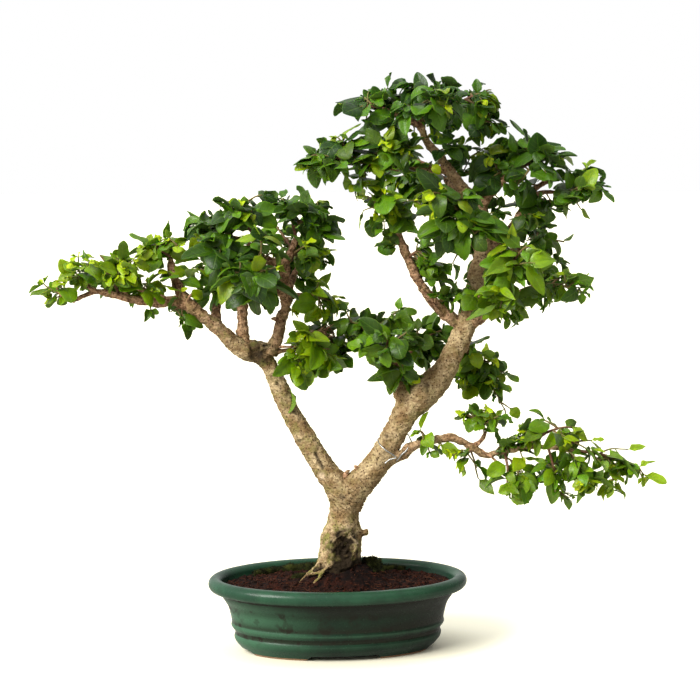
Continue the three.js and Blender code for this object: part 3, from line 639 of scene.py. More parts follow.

# %% [markdown]
# Bonsai soil here is dark red-brown peat: a crumbly, fibrous surface with damp, darker patches;
# against the trunk it is damp and darker still, as painted shade. Only the top is ever seen, but the
# body fills the pot so that the piece is whole.

# %% Finish: peat
peat, tree, shader, place = new_material("peat")
clods = mottled(tree, place, 170.0, 0.36, 0.66, detail=8.0)
damp = mottled(tree, place, 40.0, 0.4, 0.62)
chips = speckled(tree, place, 520.0, 0.36, 0.22)
base = mixed(tree, clods["Mask"], colour(8, 5, 4), colour(60, 28, 17))
base = washed(tree, base, damp["Mask"], 0.5, colour(26, 15, 10))
# Painted shade of the trunk, with damp: the peat beside the trunk darkens to this colour
base = mixed(tree, attribute(tree, "wet"), base, colour(14, 9, 8))
base = washed(tree, base, chips, 0.7, colour(92, 56, 36))
tree.links.new(base, shader.inputs["Base Color"])
heights = maths(tree, "ADD", clods["Height"], maths(tree, "MULTIPLY", chips, 0.4))
bumped(tree, shader, 0.9, 0.0012, heights)
shader.inputs["Roughness"].default_value = 0.95
shader.inputs["Specular IOR Level"].default_value = 0.12
show_finish(peat)

# %% [markdown]
# The peat's height is a formula of the place in the pot: it rises a little to the middle, more in
# heaps against the trunk, and is crumbly all over. The same formula later sets down what lies on it.

# %% Soil body
SOIL_SIDES = 272
SOIL_RINGS = 86
SOIL_EDGE = (-8.6, 66)
SOIL_RISE_SHARES = (0, 0.3, 0.72, 1)
SOIL_RISE_HEIGHTS = (71.5, 70.5, 67.5, 66)
SOIL_GRAIN = 1.1
# Heaps of peat against the trunk, as centre, rise and radius
HEAPS = (((9, -13), 16, 24), ((34, 0), 9, 18), ((-20, -12), 7, 13))
# The peat against the trunk is damp and darkened as painted shade of the trunk
DAMP_SHADE_CENTRE = (12, -14)
DAMP_SHADE_REACH = (42, 34)
WALL_GAP = 0.4


def soil_height(flat):
    """The peat's height at points of the pot: its rise by share of the oval's radius, plus crumbs."""
    reach = (OVAL_HALF_LENGTH + SOIL_EDGE[0], OVAL_HALF_WIDTH + SOIL_EDGE[0])
    share = np.linalg.norm(flat[..., :2] / reach, axis=-1)
    level = np.interp(share, SOIL_RISE_SHARES, SOIL_RISE_HEIGHTS)
    spots = flat * [1, 1, 0]
    crumbs = 0.9 * rough(spots, 9, 2, seed=11) + SOIL_GRAIN * rough(spots, 3.4, 2, seed=12)
    for centre, rise, radius in HEAPS:
        level = level + rise * faded(np.linalg.norm(flat[..., :2] - centre, axis=-1), radius)
    return level + crumbs * (1 - 0.5 * smoothstep(0.94, 1, share))


soil_wall = [(offset - WALL_GAP, height + WALL_GAP) for offset, height in INNER_WALL[::-1]]
wall_grid = oval_grid(*np.array(soil_wall).T, sides=SOIL_SIDES)
edge_ring = oval_grid([SOIL_EDGE[0]], [0], sides=SOIL_SIDES)
shares = np.linspace(1, 0.01, SOIL_RINGS)
top_grid = edge_ring * shares[:, None, None]
top_grid[..., 2] = soil_height(top_grid)
bed_grid = np.concatenate([wall_grid, top_grid])
# Painted shade of the trunk, with damp, fading with distance from its middle
wet = 0.75 * faded(np.linalg.norm((bed_grid[..., :2] - DAMP_SHADE_CENTRE) / DAMP_SHADE_REACH, axis=-1), 1, 3)
soil_mesh = build_mesh("peat_bed", [tube_part(bed_grid, wet=wet)])
add_piece("peat_bed", soil_mesh, [peat], ["soil"])
print("peat bed:", len(soil_mesh.polygons), "faces")

# %% [markdown]
# Fibres in the peat are bits of dry moss and root. They are streaked from pale to dark brown.

# %% Finish: fibre
fibre, tree, shader, place = new_material("fibre")
streaks = mottled(tree, place, 380.0, 0.35, 0.65)
threads = mixed(tree, streaks["Mask"], colour(34, 19, 12), colour(100, 60, 40))
tree.links.new(threads, shader.inputs["Base Color"])
shader.inputs["Roughness"].default_value = 0.9
shader.inputs["Specular IOR Level"].default_value = 0.12
show_finish(fibre)

# %% [markdown]
# Loose bits lie on the peat: rounded crumbs and thin pale fibres. Each is one of a few dozen faces,
# thrown over the oval by the repeatable chance rule and sunk a little, so that none floats.

# %% Crumbs and fibres
CRUMBS = 1500
CRUMB_LATITUDES = (-65, -22, 22, 65)
FIBRES = 650


def thrown(count, seed, reach=0.97):
    """Points spread evenly over the oval: the square root of chance keeps the middle from crowding."""
    number = np.arange(count)
    share = reach * np.sqrt(chance(number, 1, seed))
    angle = 2 * np.pi * chance(number, 2, seed)
    spread = np.stack([np.cos(angle), np.sin(angle)], axis=-1) * share[:, None]
    flat = spread * (OVAL_HALF_LENGTH + SOIL_EDGE[0], OVAL_HALF_WIDTH + SOIL_EDGE[0])
    return np.concatenate([flat, np.zeros((count, 1))], axis=-1)


def crumb_grids(count, seed, sides=5):
    """Lumps: a sphere's rings, each point moved in or out by up to a quarter, then stretched."""
    ball = globe_rings(np.radians(CRUMB_LATITUDES), sides)
    number = np.arange(count)
    point = np.arange(len(CRUMB_LATITUDES) * sides).reshape(-1, sides)
    knobs = 0.75 + 0.5 * chance(number[:, None, None], point, seed)
    size = 0.7 + 1.5 * chance(number, 3, seed) ** 3
    stretch = 1.05 + 0.5 * shake(number, seed, 4)
    return ball * knobs[..., None] * (size[:, None] * stretch)[:, None, None]


def fibre_grids(count, seed, sides=3, stations=6):
    """Bent threads: a flat arc of random turn, lifted in its middle, with a thin three-sided section."""
    number = np.arange(count)
    heading = 2 * np.pi * chance(number, 1, seed)
    bend = 1.6 * (chance(number, 2, seed) - 0.5)
    length = 4 + 9 * chance(number, 3, seed)
    along = np.linspace(-0.5, 0.5, stations)
    angle = heading[:, None] + bend[:, None] * along
    forward = np.stack([np.cos(angle), np.sin(angle), np.zeros_like(angle)], axis=-1)
    centres = forward * (along * length[:, None])[..., None]
    centres[..., 2] = 0.7 * (0.25 - along**2) * 4 * chance(number, 4, seed)[:, None]
    across = np.stack([-np.sin(angle), np.cos(angle), np.zeros_like(angle)], axis=-1)
    turn = ring_angles(sides)
    radius = 0.16 + 0.14 * chance(number, 5, seed)[:, None, None, None]
    ring = np.cos(turn)[:, None] * across[:, :, None] + np.sin(turn)[:, None] * np.array([0, 0, 1.0])
    return centres[:, :, None] + radius * ring


def laid(grids, seed, sink):
    """Small shapes set down on the peat, sunk by a share of a millimetre."""
    spots = thrown(len(grids), seed)
    spots[:, 2] = soil_height(spots) - sink
    return grids + spots[:, None, None]


crumbs = laid(crumb_grids(CRUMBS, 21), 22, 0.1)
fibres = laid(fibre_grids(FIBRES, 23), 24, -0.1)
litter = build_mesh("peat_litter", [tube_part(crumbs), tube_part(fibres, material=1)])
add_piece("peat_litter", litter, [peat, fibre])
print("litter:", len(litter.polygons), "faces")

# %% [markdown]
# Dry moss is a dull olive, patchy, with lighter dots where its tips catch the light.

# %% Finish: moss
moss, tree, shader, place = new_material("moss")
patchy = mottled(tree, place, 130.0, 0.35, 0.65, detail=5.0)
dots = speckled(tree, place, 900.0, 0.4, 0.5)
base = mixed(tree, patchy["Mask"], colour(18, 19, 8), colour(58, 62, 24))
base = washed(tree, base, dots, 0.4, colour(84, 86, 36))
tree.links.new(base, shader.inputs["Base Color"])
bumped(tree, shader, 0.8, 0.0007, dots)
shader.inputs["Roughness"].default_value = 0.95
shader.inputs["Specular IOR Level"].default_value = 0.12
show_finish(moss)

# %% [markdown]
# Moss grows in cushions: two against the trunk and a thin strip along the back of the rim. A
# cushion is a lumpy dome. Its velvet comes from short leafy tips, each a three-sided spike.

# %% Moss cushions and strip
# Cushions as centre and half sizes in the tree's frame
MOSS_MOUNDS = {
    "moss_right": ((31, 2, 66), (14, 14, 25)),
    "moss_left": ((-34, 8, 67), (15, 11, 5)),
}
MOSS_STRIP_OFFSET = -16
MOSS_STRIP_STATIONS = 90
MOSS_STRIP_TURN = np.radians(np.linspace(48, 138, MOSS_STRIP_STATIONS))
MOSS_STRIP_HEIGHT = 68
MOSS_STRIP_RADII = (2.5, 6)


def dome_grid(centre, half, seed):
    """Half an egg: rings (cos u cos v, cos u sin v, sin u) times the half sizes, made lumpy."""
    egg = globe_rings(np.linspace(-0.45, 1.54, 40), 72)
    lumps = 1 + 0.22 * rough(egg * half, 6, 3, seed)[..., None]
    return turned(egg * half * lumps + centre)


def moss_spikes(grid, seed):
    """Spikes that stand on a grid's points: three corners round the root and a thin tip, leaning out."""
    along_ring = np.roll(grid, -1, axis=1) - np.roll(grid, 1, axis=1)
    outward = unit(np.cross(along_ring, np.gradient(grid, axis=0)))
    roots = grid.reshape(-1, 3)
    lines = outward.reshape(-1, 3)
    number = np.arange(len(roots))
    lean = shake(number, seed)
    lines = unit(lines + 1.1 * lean)
    roots = roots + 0.8 * lean
    side = unit(np.cross(lines, [0.3, 0.9, 0.2]))
    other = np.cross(lines, side)
    turn = ring_angles(3)[:, None]
    ring = np.cos(turn) * side[:, None] + np.sin(turn) * other[:, None]
    height = (0.9 + 1.3 * chance(number, 5, seed))[:, None, None]
    foot = roots[:, None] + 0.4 * ring - 0.3 * lines[:, None]
    tip = roots[:, None] + 0.07 * ring + height * lines[:, None]
    return np.stack([foot, tip], axis=1)


moss_grids = {name: dome_grid(*shape, seed) for seed, (name, shape) in enumerate(MOSS_MOUNDS.items(), 31)}
strip_ring, strip_normal = oval_ring(MOSS_STRIP_TURN)
slim, thick = MOSS_STRIP_RADII
strip_radius = slim + (thick - slim) * np.sin(np.linspace(0, np.pi, MOSS_STRIP_STATIONS))
strip_height = np.full(MOSS_STRIP_STATIONS, MOSS_STRIP_HEIGHT)
strip_path = np.column_stack([strip_ring + MOSS_STRIP_OFFSET * strip_normal, strip_height, strip_radius])
moss_grids["moss_back"] = tube_grid(strip_path, 24, lumps=0.3, seed=35)
for name, grid in moss_grids.items():
    parts = [tube_part(grid), tube_part(moss_spikes(grid, 36))]
    mesh = build_mesh(name.replace("moss", "moss_cushion"), parts)
    add_piece(mesh.name, mesh, [moss], [name])
    print(name, len(mesh.polygons), "faces")

# %% [markdown]
# Under the peat each drain hole is covered by a square of plastic net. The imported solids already
# have its form, so they stay, and only get the look of moulded black plastic with dust on it.

# %% Finish: drain net
net, tree, shader, place = new_material("net")
dust = mottled(tree, place, 260.0, 0.45, 0.7)
dusty = mixed(tree, dust["Mask"], colour(24, 27, 25), colour(66, 58, 48))
tree.links.new(dusty, shader.inputs["Base Color"])
tree.links.new(banded(tree, dust["Height"], 0.3, 0.7, 0.4, 0.8), shader.inputs["Roughness"])
bumped(tree, shader, 0.3, 0.0002, dust["Height"])
for name in ("drain_screen_1", "drain_screen_2"):
    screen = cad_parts[name]
    screen.data.materials.clear()
    screen.data.materials.append(net)
show_finish(net)

# %% [markdown]
# The bark is pale tan and nearly smooth, peppered with small dark pores. Old wood low down is
# greener, young wood is pinkish brown. Marks that belong to one place, such as cracks, scars and
# the old wound, are values kept on the mesh, so that colour and relief agree.

# %% Finish: bark
bark, tree, shader, place = new_material("bark")
tone = mottled(tree, place, 62.0, 0.36, 0.64, detail=6.0)
grain = mottled(tree, place, 420.0, 0.4, 0.62, detail=6.0)
scales = mottled(tree, place, 230.0, 0.4, 0.58, detail=8.0)
laid_flat = {"Vector": place, "Scale": (1, 1, 2.6), "Rotation": (0, 0.4, 0)}
flattened = add_node(tree, "ShaderNodeMapping", laid_flat)
creases = mottled(tree, flattened.outputs["Vector"], 190.0, 0.5, 0.62, detail=7.0)
algae = mottled(tree, place, 120.0, 0.46, 0.62, detail=5.0)
pores = speckled(tree, place, 400.0, 0.36, 0.7)
large_pores = speckled(tree, place, 170.0, 0.22, 0.6)
base = mixed(tree, tone["Mask"], colour(150, 122, 82), colour(214, 190, 146))
twig_tone = mixed(tree, scales["Mask"], colour(116, 80, 56), colour(208, 164, 128))
base = mixed(tree, attribute(tree, "young"), base, twig_tone)
base = washed(tree, base, creases["Mask"], 0.5, colour(96, 70, 44))
base = washed(tree, base, grain["Mask"], 0.45, colour(112, 84, 54))
base = washed(tree, base, algae["Mask"], attribute(tree, "mossy"), colour(132, 126, 66))
base = washed(tree, base, pores, 0.8, colour(78, 54, 34))
base = washed(tree, base, large_pores, 0.85, colour(62, 42, 28))
base = mixed(tree, attribute(tree, "pale"), base, colour(214, 190, 156))
base = mixed(tree, attribute(tree, "dark"), base, colour(40, 30, 16))
tree.links.new(base, shader.inputs["Base Color"])
tree.links.new(banded(tree, grain["Height"], 0.3, 0.7, 0.72, 0.95), shader.inputs["Roughness"])
shader.inputs["Specular IOR Level"].default_value = 0.2
height = maths(tree, "ADD", maths(tree, "MULTIPLY", scales["Height"], 1.5), grain["Height"])
height = maths(tree, "SUBTRACT", height, maths(tree, "MULTIPLY", creases["Height"], 1.6))
height = maths(tree, "SUBTRACT", height, maths(tree, "MULTIPLY", pores, 0.5))
bumped(tree, shader, 0.8, 0.0016, height)
show_finish(bark)

# %% [markdown]
# The tree's skeleton is a set of lists, read off the object from its foot to its twigs: each point
# has x, y, z and a radius. The two stems, the roots and the swollen places are one grown form, so
# their tubes are melted together by a voxel remesh and smoothed, as clay would be. The branches
# are single tubes whose feet flare inside their parent.

# %% The skeleton
BRANCHES = {
    "trunk": [
        (3, 0, 36, 15), (2, 0, 55, 22), (1, 0, 71, 23.5), (1, -1, 85, 22.5), (2, -2, 98, 21.5),
        (3, -2, 110, 20.5), (5, -1, 122, 18), (6, 0, 135, 15), (8, 0, 146, 16.5), (9, 0, 157, 17.5),
    ],
    "left_trunk": [
        (8, 0, 147, 15), (1, 0, 161, 14.4), (-11, 2, 178, 12), (-24, 5, 198, 11), (-37, 8, 219, 10.2),
        (-49.5, 10, 241, 9.8), (-59, 10, 263, 9.6), (-67, 8, 281, 8.6), (-74, 6, 295, 9),
    ],
    "right_trunk": [
        (9, 0, 147, 15), (15, -1, 160, 16), (29, -3, 175, 13.8), (42, -6, 192, 13.2), (52, -8, 211, 12),
        (62, -10, 230, 12), (69, -11, 243, 14), (79, -11, 254, 16.5), (91, -10, 265, 15),
        (103, -8, 278, 12.6), (111, -6, 293, 11), (118, -3, 306, 10.6), (125, 0, 321, 10.4),
        (129, 3, 333, 11.2), (133, 6, 349, 10), (136, 8, 369, 9.3), (141, 9, 390, 8.5), (145, 9, 410, 8),
        (145, 8, 427, 7.4), (137, 6, 441, 7.6), (127, 3, 452, 6.8), (118, 0, 464, 5.8), (108, -3, 477, 5.3),
        (99, -6, 490, 4.8), (90, -8, 500, 4.4), (84, -9, 510, 4), (80, -10, 521, 3.8), (81, -10, 537, 3),
        (89, -12, 548, 2.2),
    ],
    "left_knot": [(-70, 8, 282, 6.5), (-75, 5, 295, 10.5), (-76, 4, 303, 12), (-75, 4, 308, 11.5)],
    "elbow_knob": [(76, -11, 250, 12), (66, -11, 258, 12), (60, -11, 264, 9)],
    "left_limb": [
        (-74, 6, 296, 8.5), (-88, 3, 298, 9.6), (-100, 0, 305, 8.6), (-115, -3, 319, 7.4),
        (-129, -6, 331, 6.6), (-139, -8, 340, 6.2), (-147, -9, 345, 4.5),
    ],
    "left_main": [
        (-75, 6, 297, 3), (-89, 3, 298, 4), (-100, 0, 305, 5), (-115, -3, 319, 5.6), (-129, -6, 331, 5.9),
        (-139, -8, 340, 5.9), (-149, -9, 346, 5.6), (-159, -10, 349, 5), (-170, -11, 348, 4.8),
        (-184, -12, 349, 4.6), (-196, -14, 351, 4.4), (-210, -15, 354, 4), (-223, -16, 357, 3.4),
        (-236, -17, 359, 2.8), (-247, -18, 355, 2.2), (-258, -20, 350, 1.7),
    ],
    "left_rise": [
        (-142, -8, 342, 5.6), (-151, -9, 352, 5.2), (-158, -8, 366, 4.6), (-162, -6, 379, 3.8),
        (-164, -4, 392, 2.9),
    ],
    "left_twig": [
        (-156, -13, 349, 2.8), (-173, -20, 354, 2.4), (-191, -22, 361, 2.1), (-205, -22, 369, 1.8),
    ],
    "middle_upright": [
        (-90, 5, 299, 5), (-94, 7, 313, 6), (-94, 10, 329, 5.5), (-95, 12, 344, 5.1), (-97, 14, 360, 4.4),
        (-101, 16, 378, 3.6), (-107, 16, 394, 2.7),
    ],
    "right_upright": [
        (-68, 4, 297, 5.4), (-61, 2, 310, 6), (-58, 2, 320, 5.8), (-56, 2, 330, 5.4), (-52, 1, 340, 5.2),
        (-50, 0, 350, 5.2), (-50, -1, 361, 5), (-52, -2, 371, 4.9), (-53, -3, 381, 5), (-57, -3, 386, 4.4),
        (-65, -5, 388, 4), (-73, -8, 391, 3.6), (-79, -10, 399, 3.1), (-82, -11, 407, 2.8),
        (-84, -12, 417, 2.4),
    ],
    "upright_fork": [(-53, -2, 382, 4), (-48, 2, 392, 3.6), (-45, 5, 400, 3.1), (-41, 9, 410, 2.6)],
    "upright_twig": [(-49, 1, 353, 2.6), (-34, 4, 354, 2.3), (-22, 7, 355, 1.9)],
    "left_back": [(-122, 0, 325, 5), (-121, 22, 340, 4), (-119, 42, 354, 3)],
    "front_left": [(-51, -2, 350, 3.8), (-58, -22, 361, 3.2), (-67, -38, 372, 2.5)],
    "back_middle": [(-50, 0, 361, 4), (-44, 22, 372, 3.4), (-39, 40, 383, 2.6)],
    "knot_right": [(-71, 4, 296, 2.6), (-53, 4, 299, 2.2), (-38, 2, 301, 1.7)],
    "left_branch": [
        (122, 0, 324, 5), (110, 0, 333, 5.6), (97, -3, 344, 5.2), (90, -5, 353, 5), (84, -7, 362, 4.8),
        (77, -9, 372, 4.6), (72, -10, 383, 4.4), (67, -11, 394, 4.2), (63, -12, 406, 4),
        (58, -13, 418, 3.8), (52, -15, 431, 3.6), (45, -18, 441, 2.8),
    ],
    "right_limb": [
        (124, 0, 323, 5), (136, -4, 330, 5.4), (146, -8, 337, 4.8), (160, -14, 348, 4.2),
        (178, -20, 358, 3.6), (201, -24, 366, 3),
    ],
    "right_rise": [
        (137, 6, 441, 5.4), (146, 4, 450, 4.3), (155, 2, 460, 3.9), (165, 0, 470, 3.4), (179, -2, 479, 2.8),
    ],
    "right_arm": [
        (144, 9, 398, 5.4), (159, 12, 408, 4.5), (173, 14, 421, 4), (180, 16, 433, 3.8),
        (186, 18, 447, 3.4), (196, 20, 459, 3), (211, 22, 467, 2.6), (227, 24, 468, 2.2),
    ],
    "right_arm_twig": [(187, 18, 449, 2.6), (204, 13, 455, 2.3), (219, 10, 454, 2)],
    "top_left": [(80, -10, 520, 3.2), (68, -14, 525, 2.9), (54, -18, 531, 2.6), (42, -21, 537, 2.2)],
    "top_right": [(81, -10, 533, 2.9), (99, -4, 539, 2.6), (118, 1, 542, 2.2)],
    "top_back": [(80, -9, 521, 3.4), (90, 16, 531, 2.6)],
    "top_front": [(81, -12, 527, 3), (82, -34, 534, 2.3)],
    "left_upper": [
        (108, -3, 477, 3.8), (91, -10, 478, 3.2), (72, -16, 477, 2.8), (52, -22, 479, 2.4),
        (31, -28, 483, 2.2), (11, -32, 490, 1.9),
    ],
    "centre_back": [(127, 3, 452, 5.4), (118, 32, 457, 4.2), (108, 56, 466, 3)],
    "centre_front": [(143, 8, 420, 5), (131, -22, 428, 4), (120, -46, 438, 3)],
    "low_back": [(134, 7, 357, 5.4), (140, 36, 372, 4.2), (145, 60, 383, 3)],
    "right_front": [(132, 5, 347, 5), (143, -24, 359, 3.9), (152, -46, 371, 3)],
    "right_back": [(141, 9, 386, 5), (165, 34, 392, 3.8), (187, 54, 397, 2.8)],
    "low_right": [
        (51, -8, 196, 7), (63, -13, 198, 5.2), (73, -15, 206, 4.7), (83, -17, 210, 4.4),
        (94, -19, 213, 4.2), (108, -21, 216, 4), (120, -22, 213, 3.8), (129, -23, 208, 3.7),
        (137, -24, 203, 3.4), (146, -24, 199, 2.9), (159, -25, 202, 2.8), (173, -26, 205, 2.6),
        (190, -27, 208, 2.4), (209, -28, 207, 2.2), (232, -29, 204, 1.9),
    ],
    "low_right_up": [(132, -23, 206, 2.6), (140, -26, 214, 2), (145, -28, 224, 1.7)],
    "low_right_fork": [(178, -26, 205, 2.3), (191, -24, 214, 2), (204, -22, 221, 1.8)],
    "pad_branch": [
        (66, -12, 264, 6.5), (63, -5, 275, 5), (58, 5, 285, 4.2), (47, 14, 293, 3.6), (29, 20, 299, 3),
        (8, 24, 304, 2.6),
    ],
    "pad_back": [(59, 4, 283, 4), (70, 28, 292, 2.9)],
    "pad_front": [(63, -8, 274, 3.8), (57, -28, 289, 2.7)],
    "trunk_back": [(116, -2, 305, 5), (130, 22, 296, 3.3), (139, 34, 285, 2.4)],
    "crown_twig": [(-80, -11, 400, 2.4), (-94, -15, 410, 2.1), (-108, -18, 413, 1.7)],
    "trunk_stub": [(14, -3, 117, 6), (24, -4, 117, 3.6), (30, -4, 119, 3)],
}
ROOTS = {
    "root_left": [(-8, 0, 98, 10), (-13, -3, 86, 8.5), (-18, -6, 76, 7), (-24, -9, 66, 4)],
    "root_ridge": [
        (-5, -19, 96, 2.2), (-8, -22, 90, 2), (-14, -24, 84, 1.8), (-19, -27, 77, 1.6), (-27, -31, 69, 1.2),
    ],
    "root_fork": [(-17, -16, 92, 1.6), (-24, -18, 85, 1.6), (-31, -20, 79, 1.5), (-39, -22, 71, 1.1)],
    "root_web": [(-13, -24, 84, 1.5), (-21, -22, 81, 1.5), (-29, -20, 79, 1.4)],
    "root_right": [(9, 2, 92, 10), (15, 3, 82, 8), (24, 7, 71, 5.4), (36, 12, 62, 3)],
    "root_back": [(0, 10, 92, 10), (-4, 20, 79, 7.5), (-9, 34, 69, 5), (-16, 48, 61, 3)],
    "wound_collar": [(5, -6, 106, 14), (5, -19, 106, 14), (5, -23, 106, 12)],
}
THIN_ROOTS = ("root_ridge", "root_fork", "root_web")
THICK = ("trunk", "left_trunk", "right_trunk", "left_knot", "left_limb", "elbow_knob", "trunk_stub")
print("skeleton:", len(BRANCHES), "branches and", len(ROOTS), "roots")

# %% [markdown]
# A remesh walks through space in small cubes and wraps one skin round all the tubes, so that forks
# and root flares close without a seam. A smooth pass then takes the cubes' steps away.

# %% Melt the stems and the roots into one form
WOOD_VOXEL = 1.2
WOOD_SIDES = 22

stem_paths = {name: smooth_path(BRANCHES[name], 2) for name in THICK}
stem_paths |= {name: smooth_path(points, 2) for name, points in ROOTS.items()}
stem_parts = [tube_part(tube_grid(path, WOOD_SIDES)) for path in stem_paths.values()]
clay_form = put_in_scene("clay_form", build_mesh("clay_form", stem_parts))
melt = clay_form.modifiers.new("melt", "REMESH")
melt.mode = "VOXEL"
melt.voxel_size = WOOD_VOXEL * MM
soften = clay_form.modifiers.new("soften", "SMOOTH")
soften.factor = 0.5
soften.iterations = 14
stem_mesh = evaluated_mesh(clay_form, "stem_wood")
bpy.data.objects.remove(clay_form)
print("stems:", len(stem_mesh.vertices), "points,", len(stem_mesh.polygons), "faces")

# %% [markdown]
# Cracks and seams follow lines on the wood, so each point needs its distance to such a line.

# %% Distance to a line
def line_distance(points, line):
    """The least distance from each point to a line of several straight pieces."""
    line = np.array(line, float)
    nearest = np.full(len(points), np.inf)
    for start, end in zip(line[:-1], line[1:]):
        piece = end - start
        share = np.clip((points - start) @ piece / (piece @ piece), 0, 1)
        nearest = np.minimum(nearest, np.linalg.norm(points - start - share[:, None] * piece, axis=1))
    return nearest


print("3 mm beside a line:", line_distance(np.array([(5, 3, 0)]), [(0, 0, 0), (9, 0, 0)])[0], "mm")

# %% [markdown]
# The relief is worked out for all points at once: lumps in three sizes push each point along its
# normal. Then come the marks that the photograph shows in their places, each as a depth that fades
# with distance from a point or a line: cracks, seams, knots, holes and pale scars.

# %% Marks of the stems, each in its place
# Lumps as size, strength and seed
LUMPS = ((16, 0.9, 41), (6, 0.6, 42), (2.8, 0.5, 43))
# The flat knot where the left stem forks: the line through its middle
KNOT_LINE = [(-78, 3, 297), (-76, 3, 310)]
# The height where the two stems part, and how far creases reach from it
FORK_HEIGHT = 152
FORK_REACH = 22
# Cracks and seams: a line, its half width and its depth
CRACKS = (
    ([(10, -14, 180), (9, -17, 172), (7, -18, 165)], 1.5, 2.6),
    ([(-22, -6, 198), (-19, -8, 191), (-15, -9, 184)], 1.8, 3.2),
    ([(-60, 0, 267), (-54, -1, 260), (-47, -2, 252)], 1.5, 2.4),
    ([(88, -26, 262), (86, -27, 270)], 1.2, 1.8),
    ([(16, -18, 140), (18, -17, 130), (17, -18, 122)], 0.9, 1.2),
    ([(120, -8, 345), (124, -6, 358), (130, -2, 368)], 0.9, 1.3),
)
# Seams that stand up instead, and knots: a line, its half width and its height
RIDGES = (
    ([(13, -17, 177), (13, -19, 166), (13, -20, 155)], 1.3, 1.3),
    ([(11, -20, 128), (14, -22, 121), (17, -21, 114), (20, -19, 108)], 2.2, 2.6),
    ([(48, -18, 217), (49, -18, 218)], 4.2, 2.2),
)
# Holes: a centre, a radius, a depth and how dark they are
HOLES = (
    ((5, -16, 155.7), 2.6, 3.0, 0.9), ((-42, 1, 239.6), 2.4, 2.6, 0.9), ((-38, 0, 209.6), 2.6, 3.0, 0.9),
    ((-71, -8, 305.8), 2.4, 3.4, 0.9), ((-78, -5, 296), 6, 6.0, 0.4), ((-75, 4, 317), 8.0, 3.0, 0.2),
    ((48, -19, 217), 2.2, 2.4, 0.9), ((87, -25, 269), 3, 1.6, 0.8), ((104, -18, 300), 1.8, 1.4, 0.9),
    ((22, -15, 119), 4.6, 1.6, 0.75), ((15, -19, 134), 3.4, 0.6, 0.35), ((25, -4, 117), 4, 0.4, 0.6),
)
# Pale scars: a centre and a radius
PALE_SCARS = (
    ((-16.8, -9, 175.6), 4.0), ((11.5, -20, 127), 3.6), ((15, -22, 119), 2.6), ((18, -21, 112), 2.2),
)

points = read_vectors(stem_mesh.vertices, "co") / MM
normals = read_vectors(stem_mesh.vertices, "normal")
relief = sum(strength * rough(points, size, 2, seed) for size, strength, seed in LUMPS)
knot_share = 1 - smoothstep(11, 17, line_distance(points, KNOT_LINE))
relief += knot_share * 1.8 * rough(points, 5, 3, 47)
dark = knot_share * (0.42 + 0.3 * smoothstep(-0.3, 0.4, noise(points, 3.4, 48)))
creased = noise(points * [1, 1, 2.4], 5, 49)
relief -= 0.55 * smoothstep(0.25, 0.7, np.abs(creased) * 1.6)
near_fork = faded(points[:, 2] - FORK_HEIGHT, FORK_REACH) * (0.5 + 0.5 * noise(points, 12, 58))
folds = np.sin(1.9 * (points @ [0.7, 0.2, 0.75] + 1.6 * noise(points, 8, 59)))
relief += 0.7 * near_fork * folds
dark += 0.8 * near_fork * smoothstep(-0.3, -0.9, folds)
for line, half_width, depth in CRACKS:
    share = faded(line_distance(points, line), half_width)
    relief -= depth * share
    dark += 0.95 * share
for line, half_width, height in RIDGES:
    relief += height * faded(line_distance(points, line), half_width)
for centre, radius, depth, darkness in HOLES:
    share = faded(np.linalg.norm(points - centre, axis=1), radius)
    relief -= depth * share
    dark += darkness * share
pale = sum(faded(np.linalg.norm(points - centre, axis=1), radius, 3) for centre, radius in PALE_SCARS)
shaped = points + relief[:, None] * normals
print("relief from", round(float(relief.min()), 1), "to", round(float(relief.max()), 1), "mm")

# %% [markdown]
# Low on the front a cut limb has healed badly. Its wound is a hollow with a raised, rolled lip and
# rings of callus round it, all functions of one distance from its middle, bent a little by noise.

# %% The healed wound
WOUND_CENTRE = (6, 106)
WOUND_RADIUS = 9.6
WOUND_DEPTH = 5.5
# The wound is taller than wide, so distances up and down count for this share of their length
WOUND_UPRIGHT = 0.72
LIP_HEIGHT = 2.4

from_wound = np.hypot(points[:, 0] - WOUND_CENTRE[0], (points[:, 2] - WOUND_CENTRE[1]) * WOUND_UPRIGHT)
from_wound = from_wound + 2.0 * noise(points, 9, 44) + 0.9 * noise(points, 3.2, 54)
in_front = smoothstep(-10, -15, points[:, 1])
hollow = in_front * (1 - smoothstep(WOUND_RADIUS - 3.2, WOUND_RADIUS + 2.2, from_wound))
lip = in_front * faded(from_wound - WOUND_RADIUS - 4.2, 2.6)
callus = in_front * faded(from_wound, 17, 4) * np.sin(1.6 * from_wound)
shaped[:, 1] += WOUND_DEPTH * hollow - LIP_HEIGHT * lip + 0.8 * callus
shaped[:, 1] += 2.6 * hollow * rough(points, 3.6, 2, 55)
around = in_front * smoothstep(19, 12, from_wound)
dark += around * (0.22 + 0.5 * smoothstep(-0.2, 0.5, noise(points, 4, 60)))
dark += hollow * (0.62 + 0.5 * noise(points, 3, 45))
dark += 0.4 * lip * smoothstep(-0.4, 0.4, noise(points, 5, 56))
print("points in the hollow:", int((hollow > 0.5).sum()))

# %% [markdown]
# Colour follows age and damp. Bark is stained by wet peat up to a slanting line, except on the thin
# roots, which stay pale. Algae colour the foot and the wound, and the upper stems are young.

# %% Stain, algae and young wood
soil_line = 86 + 8 * smoothstep(-22, -2, points[:, 0])
stained = smoothstep(4, -3, points[:, 2] - soil_line + 4 * noise(points, 6, 57))
root_lines = [line_distance(points, np.array(ROOTS[name])[:, :3]) for name in THIN_ROOTS]
on_root = faded(np.min(root_lines, axis=0), 2.6, 4)
dark += 0.95 * stained * (points[:, 1] < 4) * (1 - on_root)
young = 0.45 * smoothstep(330, 470, points[:, 2]) + 0.6 * smoothstep(-95, -135, points[:, 0])
young += 0.1 * noise(points, 20, 46)
mossy = 0.25 + 0.75 * smoothstep(150, 80, points[:, 2]) + 0.3 * smoothstep(0, -12, points[:, 0])
mossy += 0.9 * in_front * smoothstep(26, 12, from_wound) + 0.6 * knot_share + 1.2 * on_root

